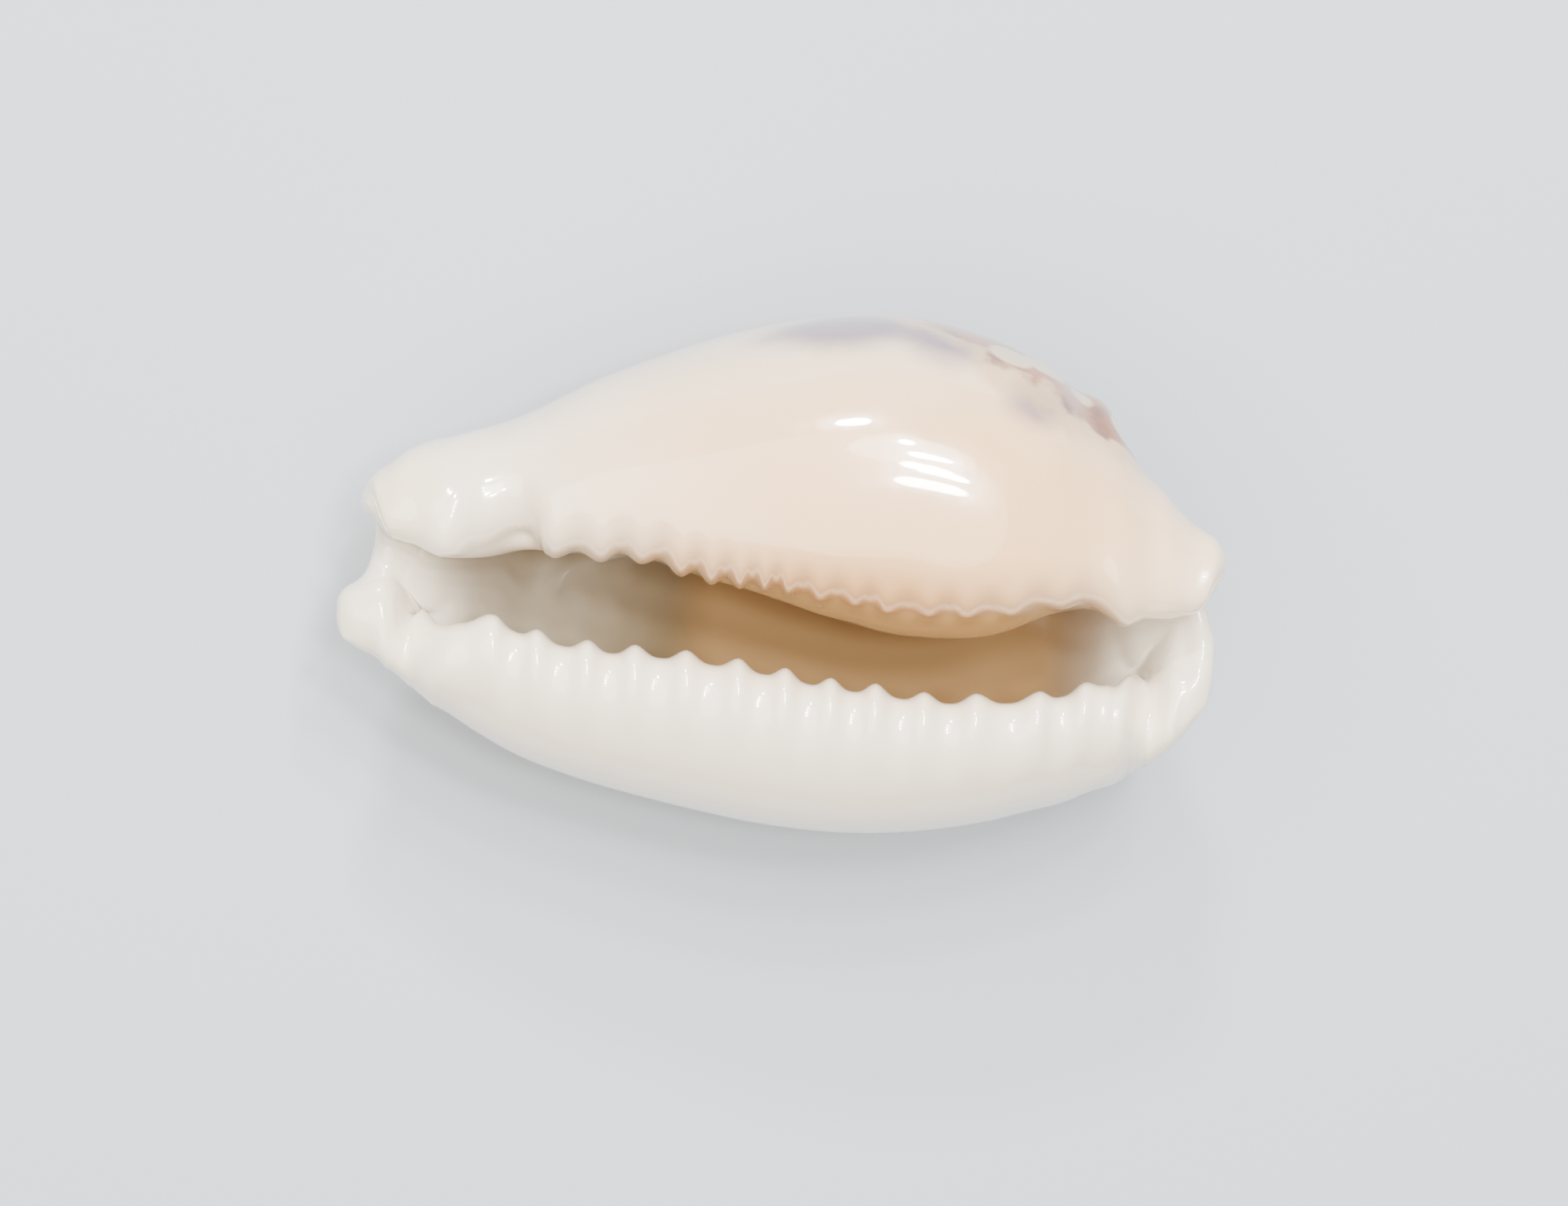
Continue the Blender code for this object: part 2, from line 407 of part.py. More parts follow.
def face_sheet(bm, grid, inwards):
    """One face of the wall from a plain grid whose corners are set in place."""
    rows, cols = grid.shape[:2]
    made = bmesh.ops.create_grid(bm, x_segments=cols - 1, y_segments=rows - 1, size=1.0)['verts']
    place = sorted(made, key=lambda v: (round(v.co.y, 5), round(v.co.x, 5)))
    for v, p in zip(place, grid.reshape(-1, 3)):
        v.co = p
    if inwards:
        bmesh.ops.reverse_faces(bm, faces=list({f for v in made for f in v.link_faces}))


for old in list(bpy.data.objects):
    bpy.data.objects.remove(old, do_unlink=True)

collection = bpy.data.collections.new("cowrie_shell")
bpy.context.scene.collection.children.link(collection)

(outer_face, inner_face), offset = lay_down(sheet((N_EDGE, N_BODY, N_TURN, N_WHORL), 1))
bm = bmesh.new()
face_sheet(bm, outer_face, False)
face_sheet(bm, inner_face, True)
bmesh.ops.remove_doubles(bm, verts=bm.verts, dist=1e-7)
bmesh.ops.recalc_face_normals(bm, faces=bm.faces)
cut = bmesh.ops.bisect_plane(bm, geom=bm.verts[:] + bm.edges[:] + bm.faces[:], dist=1e-8, plane_co=(0, 0, 0),
                             plane_no=(0, 0, 1), clear_inner=True)
rim = [e for e in cut["geom_cut"] if isinstance(e, bmesh.types.BMEdge)]
bmesh.ops.contextual_create(bm, geom=rim)
bmesh.ops.recalc_face_normals(bm, faces=bm.faces)
mesh = bpy.data.meshes.new("shell")
bm.to_mesh(mesh)
bm.free()
for polygon in mesh.polygons:
    polygon.use_smooth = True

material = bpy.data.materials.new("shell")
material.use_nodes = True
shader = material.node_tree.nodes["Principled BSDF"]
shader.inputs["Base Color"].default_value = (0.80, 0.75, 0.69, 1.0)
shader.inputs["Roughness"].default_value = 0.18
shader.inputs["Metallic"].default_value = 0.0
mesh.materials.append(material)

shell = bpy.data.objects.new("shell", mesh)
collection.objects.link(shell)
print("offset mm", [round(float(v), 4) for v in offset])
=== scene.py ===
# %% [markdown]
# # A glossy cowrie shell, one curled wall of porcelain
# A cowrie grows as one coiled wall. The last turn wraps round all the earlier ones, its outer lip bends
# over the mouth, and both lips carry a row of teeth. Here the shell lies on its back with the mouth up.
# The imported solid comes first: it fixes the size and the place, and everything below is fitted to it.

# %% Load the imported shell
import math

import bmesh
import bpy
import numpy as np
from mathutils import Matrix, Vector


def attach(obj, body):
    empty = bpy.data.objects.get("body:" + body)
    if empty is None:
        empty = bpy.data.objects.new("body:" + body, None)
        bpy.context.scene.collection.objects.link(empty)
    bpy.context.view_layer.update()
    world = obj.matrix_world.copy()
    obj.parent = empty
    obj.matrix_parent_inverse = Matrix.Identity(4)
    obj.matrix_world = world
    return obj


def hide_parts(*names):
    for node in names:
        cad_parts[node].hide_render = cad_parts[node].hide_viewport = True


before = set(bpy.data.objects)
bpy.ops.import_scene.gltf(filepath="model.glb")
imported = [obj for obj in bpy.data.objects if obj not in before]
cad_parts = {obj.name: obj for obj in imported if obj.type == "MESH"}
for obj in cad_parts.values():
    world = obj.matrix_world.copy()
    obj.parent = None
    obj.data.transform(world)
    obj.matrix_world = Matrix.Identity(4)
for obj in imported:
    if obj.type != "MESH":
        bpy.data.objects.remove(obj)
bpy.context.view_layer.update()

# %% [markdown]
# ## The camera
# The shell is tiny, so the camera stands 18 cm above it with a long lens, as for a specimen picture. It
# looks down on the mouth, turned 20 degrees about the shell's length so that the inner lip's side shows
# more, and the picture is rolled by 3.4 degrees. The directions are written in the shell's own axes
# (x along the shell, y towards the inner lip, z out of the mouth) and then turned into the lying pose.

# %% Lying pose and camera
MM = 0.001
ROLL, PITCH = math.radians(8.0), math.radians(5.0)
SHIFT = np.array([0.2794, -0.3241, 6.3587])


def lie_down(points, move=True):
    """From the shell's own axes, in millimetres, to the lying pose, in metres."""
    p = np.asarray(points, float)
    cr, sr, cp, sp = math.cos(ROLL), math.sin(ROLL), math.cos(PITCH), math.sin(PITCH)
    x, y, z = p[..., 0], p[..., 1] * cr - p[..., 2] * sr, p[..., 1] * sr + p[..., 2] * cr
    laid = np.stack([x * cp - z * sp, y, x * sp + z * cp], axis=-1)
    return (laid + SHIFT if move else laid) * MM


def direction(x, y, z):
    return Vector(lie_down([x, y, z], move=False) / MM)


CAMERA_DISTANCE, LENS, SENSOR_WIDTH = 0.18, 136.2, 36.0
# Point the camera looks at, in metres from the middle of the shell.
AIM_RIGHT, AIM_DOWN, AIM_NEARER = 0.000108, 0.000911, 0.003
tilt, turn = math.radians(20.0), math.radians(3.4)
towards_camera = direction(0, math.sin(tilt), math.cos(tilt))
across, along = direction(0, math.cos(tilt), -math.sin(tilt)), direction(1, 0, 0)
right = along * math.cos(turn) + across * math.sin(turn)
up = across * math.cos(turn) - along * math.sin(turn)
aim = Vector(lie_down([0, 0, 0])) + right * AIM_RIGHT - up * AIM_DOWN + towards_camera * AIM_NEARER

camera_data = bpy.data.cameras.new("specimen camera")
camera_data.sensor_width, camera_data.lens, camera_data.clip_start = SENSOR_WIDTH, LENS, 0.01
camera = bpy.data.objects.new("specimen camera", camera_data)
bpy.context.scene.collection.objects.link(camera)
camera.matrix_world = Matrix((right, up, towards_camera)).transposed().to_4x4()
camera.matrix_world.translation = aim + towards_camera * CAMERA_DISTANCE
bpy.context.scene.camera = camera
print("camera height, metres:", round(camera.matrix_world.translation.z, 4))

# %% [markdown]
# ## Measured curves
# A shell can be sculpted, but its form is smoother when it is lofted: a cross section is worked out at
# each place along the shell, and a skin is drawn through them all. Each table gives a few keys (distance
# along the shell, value), in millimetres or degrees, and one smooth curve is drawn through the keys.

# %% Smooth curves through keys
def curve(keys, x):
    kx = np.array([k[0] for k in keys], float)
    kv = np.array([k[1] for k in keys], float)
    h = np.diff(kx)
    d = np.diff(kv) / h
    m = np.concatenate([[d[0]], (d[:-1] * h[1:] + d[1:] * h[:-1]) / (h[1:] + h[:-1]), [d[-1]]])
    x = np.clip(np.asarray(x, float), kx[0], kx[-1])
    i = np.clip(np.searchsorted(kx, x) - 1, 0, len(kx) - 2)
    t = (x - kx[i]) / h[i]
    return ((2 * t**3 - 3 * t**2 + 1) * kv[i] + (t**3 - 2 * t**2 + t) * h[i] * m[i]
            + (-2 * t**3 + 3 * t**2) * kv[i + 1] + (t**3 - t**2) * h[i] * m[i + 1])


def fade(x, a, b):
    """Eased step from 0 at a to 1 at b."""
    t = np.clip((np.asarray(x, float) - a) / (b - a), 0, 1)
    return t * t * (3 - 2 * t)


# %% Size of the cross sections: centre, reach to both sides, back and base
MID_Y = [(-13.6, 0.75), (-12, 0.75), (-11, 0.5), (-10, 0.2), (-9, 0.05), (-8, -0.1), (-6, 0.0), (-4, 0.1),
         (0, 0.25), (4, 0.3), (8, 0.3), (10, 0.2), (11, 0.15), (12, 0.3), (13, 0.5), (13.6, 0.6)]
MID_Z = [(-13.6, 3.4), (-12, 3.1), (-11, 2.8), (-10, 2.5), (-8, 2.0), (-6, 1.6), (-4, 1.2), (0, 1.0),
         (4, 1.0), (7, 1.2), (8, 1.3), (9, 1.5), (10, 1.8), (11, 2.2), (12, 2.7), (13, 3.2), (13.6, 3.4)]
REACH_INNER = [(-13.6, 2.25), (-12.8, 2.42), (-12.4, 2.76), (-12, 3.05), (-11.5, 3.55), (-11, 3.91),
               (-10, 4.46), (-9, 4.75), (-8, 5.24), (-6, 6.13), (-4, 6.8), (-2, 7.43), (0, 7.9), (1.5, 8.13),
               (3, 8.23), (5, 7.95), (6, 7.7), (7, 7.35), (8, 6.89), (9, 5.9), (10, 5.14), (10.5, 4.7),
               (11, 4.28), (11.5, 3.9), (12, 3.36), (12.5, 2.9), (13, 2.7), (13.6, 2.35)]
REACH_OUTER = [(-13.6, 1.6), (-13, 1.85), (-12.5, 2.1), (-12, 2.4), (-11.5, 3.08), (-11, 3.8), (-10.5, 4.12),
               (-10, 4.24), (-9, 4.78), (-8, 5.24), (-6, 6.16), (-4, 6.86), (-2, 7.35), (0, 7.7), (3, 7.85),
               (5, 7.63), (7, 7.15), (8, 6.78), (9, 6.38), (10, 5.75), (10.5, 5.5), (11, 5.18), (11.5, 4.42),
               (12, 3.52), (12.5, 2.9), (12.75, 2.47), (13, 2.15), (13.6, 1.5)]
DEPTH_BACK = [(-13.6, 1.2), (-12, 1.75), (-11, 2.4), (-10, 3.2), (-8, 4.8), (-6, 5.9), (-4, 6.7), (-2, 7.3),
              (0, 7.7), (2.5, 7.95), (5, 7.7), (7, 7.0), (9, 5.6), (10, 4.6), (11, 3.4), (12, 2.3), (13, 1.6),
              (13.6, 1.2)]
HEIGHT_BASE = [(-13.6, 1.0), (-12, 1.6), (-11, 2.1), (-10, 2.6), (-8, 3.5), (-4, 4.7), (0, 5.2), (4, 5.2),
               (7, 4.9), (8, 4.6), (10, 3.6), (11, 2.9), (12, 2.2), (13, 1.5), (13.6, 1.0)]
SQUARE_BASE = [(-11, 2.3), (-8, 2.15), (0, 2.3), (8, 2.2), (11, 2.3)]
SQUARE_BACK = [(-11, 2.1), (0, 2.05), (11, 2.1)]

# %% Edges of the mouth, thickness of the wall, roll of the inner lip
INNER_LIP_Y = [(-13.4, 3.2), (-12.6, 3.0), (-12.25, 2.75), (-11.5, 2.0), (-11, 2.0), (-10.5, 2.2), (-10, 2.5),
               (-9.3, 2.68), (-8.6, 2.9), (-7.7, 3.0), (-6.86, 2.66), (-5.4, 2.49), (-4.2, 2.43), (-3, 1.97),
               (-2, 1.66), (-1.2, 1.52), (0.24, 1.25), (1.2, 1.02), (2.25, 0.88), (3.2, 0.68), (4.5, 0.63),
               (5.6, 0.69), (7, 0.9), (8.5, 1.35), (9.3, 1.6), (10, 1.6), (11.4, 1.1), (12, 1.1),
               (12.9, 1.45), (13.4, 2.0)]
OUTER_LIP_Y = [(-13.4, -1.7), (-10, -1.12), (-9.4, -0.95), (-8.55, -0.75), (-7.2, -1.07), (-5.66, -1.24),
               (-4.24, -1.26), (-2.68, -1.27), (-1.08, -1.37), (0.35, -1.57), (1.73, -1.82), (3.08, -1.93),
               (4.56, -2.17), (6.12, -2.16), (8.03, -2.12), (9.38, -1.87), (10.78, -1.73), (13.4, -1.8)]
OUTER_LIP_END_Y = [(-13.4, -0.3), (-12, -0.6), (-11.4, -0.75), (-11, -0.8), (-10.6, -0.85), (-10, -0.85),
                   (-9.4, -0.8), (-9, -0.75), (9, -1.7), (9.4, -1.63), (10, -1.62), (10.8, -1.7),
                   (11.2, -1.75), (11.6, -1.7), (12, -1.6), (13.4, -1.0)]
LIP_OUTER = [(-13.4, 0.85), (-12.6, 0.95), (-12, 1.15), (-11.5, 1.35), (-11, 1.4), (-10.4, 1.22),
             (-9.8, 1.08), (-9.2, 1.02), (-7, 1.0), (0, 1.0), (8, 1.0), (9.4, 1.02), (10.1, 1.1),
             (10.6, 1.28), (11.1, 1.55), (11.5, 1.6), (12, 1.45), (12.5, 1.2), (13, 1.05), (13.4, 0.95)]
LIP_INNER = [(-13.4, 0.55), (-12.5, 0.65), (-11.5, 0.75), (-10, 0.82), (-6, 0.8), (0, 0.8), (8, 0.8),
             (10, 0.85), (11.5, 0.85), (12.5, 0.78), (13.4, 0.7)]
WALL = [(-13.4, 0.75), (-12.4, 0.85), (-11.8, 0.98), (-11, 1.15), (-10.3, 1.25), (-9.7, 1.15), (-9.1, 0.9),
        (-8.4, 0.68), (-7, 0.53), (-5, 0.5), (0, 0.5), (6, 0.5), (8, 0.52), (8.8, 0.62), (9.5, 0.92),
        (10.2, 1.3), (10.8, 1.42), (11.5, 1.25), (12.2, 1.0), (13.4, 0.8)]
ROLL_RADIUS = [(-10, 0.95), (-6, 1.0), (0, 1.15), (6, 1.2), (10, 1.05)]
ROLL_TURN = [(-10.5, 95), (-8, 95), (-5, 85), (-2, 66), (0, 52), (2, 46), (5, 44), (7, 48), (8.5, 60),
             (10, 85)]
SLOPE = [(-10, 0.1), (-7, 0.4), (-3, 0.8), (0, 1.1), (2, 1.4), (5, 1.5), (7, 1.3), (9, 0.8), (11, 0.2)]
WHORL_RADIUS = [(-10, 1.0), (-7, 1.8), (-3, 2.2), (3, 2.4), (7, 2.1), (10, 1.2)]
WHORL_TURN = [(-10.5, 5), (-8, 60), (-5, 120), (0, 160), (6, 160), (9, 100), (11, 10)]

# %% Channels at both ends, the two notched rims, the teeth and the spire's knob
CHANNEL_OUTER = [(-13.4, 50), (-12.6, 62), (-12, 82), (-11.4, 110), (-10.7, 145), (-10, 178), (-9.3, 207),
                 (0, 215), (9.6, 205), (10.2, 185), (10.9, 150), (11.6, 112), (12.2, 84), (12.8, 64),
                 (13.4, 50)]
CHANNEL_INNER = [(-13.4, 45), (-12.8, 65), (-12.4, 110), (-12.1, 150), (-11.7, 185), (-11.2, 205),
                 (-10.5, 225), (-9, 250), (0, 260), (10, 262), (11, 245), (12, 222), (12.6, 200), (13, 160),
                 (13.4, 120)]
RIM_FRONT = [(0, -13.1), (0.05, -13.34), (0.1, -13.39), (0.14, -13.33), (0.18, -13.24), (0.22, -13.08),
             (0.26, -12.85), (0.31, -12.62), (0.37, -12.48), (0.45, -12.37), (0.53, -12.35), (0.6, -12.42),
             (0.68, -12.54), (0.75, -12.66), (0.83, -12.76), (0.9, -12.78), (0.96, -12.72), (1, -12.6)]
RIM_SPIRE = [(0, 13.12), (0.05, 13.3), (0.1, 13.34), (0.18, 13.32), (0.26, 13.25), (0.31, 13.15),
             (0.37, 13.03), (0.43, 12.93), (0.5, 12.87), (0.58, 12.9), (0.65, 13.05), (0.72, 13.22),
             (0.8, 13.38), (0.87, 13.43), (0.93, 13.38), (0.97, 13.28), (1, 13.12)]
OUTER_TEETH = [-8.55, -7.2, -5.66, -4.24, -2.68, -1.08, 0.35, 1.73, 3.08, 4.56, 6.12, 8.03, 9.38, 10.78]
INNER_TEETH = [-6.87, -5.4, -4.2, -3.0, -2.07, -1.2, -0.45, 0.24, 1.2, 2.25, 3.22, 4.5, 5.63, 7.03, 8.5,
               10.0, 11.4]
KNOB_X, KNOB_BEARING, KNOB_HEIGHT, KNOB_LENGTH, KNOB_WIDTH = 9.55, 250.0, 0.7, 0.8, 18.0
MARGIN_INNER = [(-13.6, 200), (-11, 215), (-8, 240), (-2, 252), (3, 258), (4.2, 268), (5.4, 276), (6.6, 281),
                (8.2, 282), (9.4, 278), (10.6, 266), (12, 225), (13.6, 200)]
MARGIN_OUTER = [(-13.6, 165), (-10, 140), (-5, 122), (4, 118), (9, 125), (12, 150), (13.6, 165)]
print("teeth:", len(OUTER_TEETH), "on the outer lip,", len(INNER_TEETH), "on the inner lip")

# %% [markdown]
# ## Walking along the wall
# A cross section of the wall is drawn the way a pen would draw it: from its lowest point, in short equal
# steps, always in the direction that the heading says. Headings are easy to blend from one section to the
# next, which keeps the skin smooth where the closed middle of the shell opens into its two end channels.

# %% Helpers for headings and teeth
def walk(y, z, heading, length):
    step = length / (len(heading) - 1)
    h = (heading[1:] + heading[:-1]) / 2
    return (y + np.concatenate([[0], np.cumsum(np.cos(h))]) * step,
            z + np.concatenate([[0], np.cumsum(np.sin(h))]) * step)


def arc_length(y, z):
    return np.concatenate([[0], np.cumsum(np.hypot(np.diff(y), np.diff(z)))])


def tooth_phase(crests, x):
    """A whole number on each crest, rising by one from tooth to tooth."""
    return float(np.interp(x, crests, np.arange(len(crests))))


def scallop(crests, x, sharpness):
    """1 on each crest, 0 halfway between two crests."""
    return (0.5 + 0.5 * math.cos(2 * math.pi * tooth_phase(crests, x))) ** sharpness


FINE_EDGE, FINE_BODY, FINE_ROLL = 60, 160, 160

# %% [markdown]
# ## The closed middle
# In the middle the section is an egg. The wall runs round it from the outer lip to the inner lip. The outer
# lip's edge is tucked a little into the mouth, and reaches further on each tooth. The inner lip rolls in,
# slopes down and carries on as the start of the inner turn, as far as the mouth lets one see.

# %% Section through the closed middle
LIP_TUCK, EDGE_LENGTH, EDGE_TURN = 1.45, 1.1, math.radians(54)
TOOTH_REACH, WHORL_THICKNESS = 0.35, 0.42


def egg_line(x):
    u = np.radians(np.linspace(0.0, 360.0, 1441))
    s, c = np.sin(u), np.cos(u)
    right, left = curve(REACH_OUTER, x), curve(REACH_INNER, x)
    base, back = curve(HEIGHT_BASE, x), curve(DEPTH_BACK, x)
    square_base, square_back = curve(SQUARE_BASE, x), curve(SQUARE_BACK, x)
    a = (right + left) / 2 + (right - left) / 2 * s
    b = (base + back) / 2 + (base - back) / 2 * c
    p = (square_base + square_back) / 2 + (square_base - square_back) / 2 * c
    r = (np.abs(s / a) ** p + np.abs(c / b) ** p) ** (-1 / p)
    return u, curve(MID_Y, x) - r * s, curve(MID_Z, x) + r * c


def half_of(y, z, w, sign):
    """One side of the wall as headings, counted from the lowest point."""
    arc = arc_length(y, z)
    q = np.linspace(0, arc[-1], FINE_BODY)
    yq, zq = np.interp(q, arc, y), np.interp(q, arc, z)
    heading = np.unwrap(np.arctan2(np.gradient(zq), np.gradient(yq)))
    turned = heading if sign > 0 else math.pi - heading
    turned = turned - 2 * math.pi * round(float(turned[3]) / (2 * math.pi))
    return turned, arc[-1], np.interp(q, arc, w)


def closed_section(x, tooth):
    u, oy, oz = egg_line(x)
    wl, wc, wall, rho = (curve(t, x) for t in (LIP_OUTER, LIP_INNER, WALL, ROLL_RADIUS))
    u_l = np.interp(-(curve(OUTER_LIP_Y, x) - LIP_TUCK - wl), -oy[:361], u[:361])
    u_c = np.interp(-(curve(INNER_LIP_Y, x) + wc + rho), -oy[1080:], u[1080:])
    uu = np.linspace(u_l, u_c, 600)
    by, bz = np.interp(uu, u, oy), np.interp(uu, u, oz)
    ty, tz = np.gradient(by), np.gradient(bz)
    size = np.hypot(ty, tz)
    ny, nz = -tz / size, ty / size
    if ny[300] * (by[300] - curve(MID_Y, x)) + nz[300] * (bz[300] - curve(MID_Z, x)) < 0:
        ny, nz = -ny, -nz
    f = arc_length(by, bz)
    f = f / f[-1]
    w = curve([(0, wl), (0.09, wl * 0.97), (0.2, (wl + wall) / 2 - 0.05), (0.35, wall), (0.55, wall * 0.95),
               (0.75, wall), (0.9, (wc + wall) / 2), (1, wc)], f)
    my, mz = by - w * ny, bz - w * nz
    k = int(np.argmin(mz))
    outer = half_of(my[:k + 1][::-1], mz[:k + 1][::-1], w[:k + 1][::-1], -1)
    inner = half_of(my[k:], mz[k:], w[k:], 1)

    edge = EDGE_LENGTH + TOOTH_REACH * tooth + wl
    edge_turn = outer[0][-1] + EDGE_TURN * fade(np.linspace(0, edge, FINE_EDGE), 0, edge)
    turn, whorl = math.radians(curve(ROLL_TURN, x)), math.radians(curve(WHORL_TURN, x))
    l1, l2, l3 = rho * turn * 1.25, curve(SLOPE, x), curve(WHORL_RADIUS, x) * whorl
    n = FINE_ROLL // 3
    sg = np.concatenate([np.linspace(0, l1, n + 1)[:-1], np.linspace(l1, l1 + l2 + l3, FINE_ROLL - n)])
    roll_turn = inner[0][-1] + turn * fade(sg, 0, l1) + whorl * np.clip((sg - l1 - l2) / max(l3, 1e-6), 0, 1)
    thin = float(fade(math.degrees(whorl), 5, 60))
    roll_w = wc + (WHORL_THICKNESS - wc) * fade(sg, l1 * 0.6, l1 + l2 + 1.0) * thin
    return dict(y=my[k], z=mz[k], outer=outer, edge=(edge_turn, edge, np.full(FINE_EDGE, wl)), inner=inner,
                roll=(roll_turn, l1, l2 + l3, roll_w))


# %% [markdown]
# ## The two end channels
# At the narrow front and at the spire end the wall opens into a short gutter. Its outer side is an arc and
# a straight end, worked out from the height and the reach of the lip, and its inner side is a half turn
# with a run back over the gutter, which makes the beak.

# %% Section through a channel
def channel_section(x, tooth):
    wl, wc, wf = curve(LIP_OUTER, x), curve(LIP_INNER, x), curve(WALL, x)
    mid_y, mid_z = curve(MID_Y, x), curve(MID_Z, x)
    turn_l, turn_c = math.radians(curve(CHANNEL_OUTER, x)), math.radians(curve(CHANNEL_INNER, x))
    floor = mid_z - curve(DEPTH_BACK, x) + wf
    rise = mid_z + curve(HEIGHT_BASE, x) - floor

    a = min(turn_l, math.pi)
    start = mid_y - curve(REACH_OUTER, x) + wl
    height = rise - wl * (0.2 + 0.8 * abs(math.cos(a)))
    reach = curve(OUTER_LIP_END_Y, x) + TOOTH_REACH * tooth - wl * (1 + math.cos(a)) - start
    top = ((1 - math.cos(a)) * reach - (1 - math.sin(a)) * height) / max(1 - math.cos(a) - math.sin(a), 0.2)
    top = min(max(top, 0.0), 3.0) * float(fade(a, math.radians(108), math.radians(135)))
    radius = min(max((height - top * math.sin(a)) / (1 - math.cos(a)), 0.9), 4.0)
    flat = 0.4
    bend = radius * a
    length = flat + radius * turn_l + top
    edge = max(0.35, min(0.6 + wl + TOOTH_REACH * tooth, length * 0.4))

    def turning(q):
        rest = max(turn_l - math.pi, 0) * np.clip((q - flat - bend) / max(length - flat - bend, 1e-3), 0, 1)
        return np.clip((q - flat) / radius, 0, a) + rest

    q1, q2 = np.linspace(0, length - edge, FINE_BODY), np.linspace(length - edge, length, FINE_EDGE)
    outer = (turning(q1), length - edge, wf + (wl - wf) * fade(q1, 0.1, flat + bend * 0.5))
    lip = (turning(q2), edge, wf + (wl - wf) * fade(q2, 0.1, flat + bend * 0.5))

    radius_c = max(0.5 * (rise - wc), 0.5)
    b = min(turn_c, math.pi)
    l0 = flat + radius_c * b
    sg = np.linspace(0, l0, FINE_BODY)
    inner = (np.clip((sg - flat) / radius_c, 0, b), l0, wf + (wc - wf) * fade(sg, 0.1, l0 * 0.45))
    run = max(0.45, mid_y + curve(REACH_INNER, x) - wc - radius_c - curve(INNER_LIP_Y, x) + 0.1)
    n = FINE_ROLL // 3
    q = np.concatenate([np.linspace(0, run / 2, n + 1)[:-1], np.linspace(run / 2, run, FINE_ROLL - n)])
    roll_turn = b + (turn_c - b) * fade(q, max(0, run - 1.2), run)
    return dict(y=mid_y, z=floor, outer=outer, edge=lip, inner=inner,
                roll=(roll_turn, run / 2, run / 2, np.full(FINE_ROLL, wc)))


# %% [markdown]
# ## One section, ready to skin
# The two kinds of section are blended, given the blunt knob of the spire, and turned into points with an
# outward direction and a half thickness. The last columns say how strongly each lip's teeth are raised
# there: the raising itself is a rule, so it is left to a node tree further on.

# %% Blend and measure one section
DENT_DEPTH = 0.33      # millimetres, beside the first tooth of the inner lip
BEND_WINDOW = 0.3      # millimetres over which the bend of the section is averaged
TIGHTEST_INSIDE = 0.8  # limits the inner half thickness where the section bends sharply


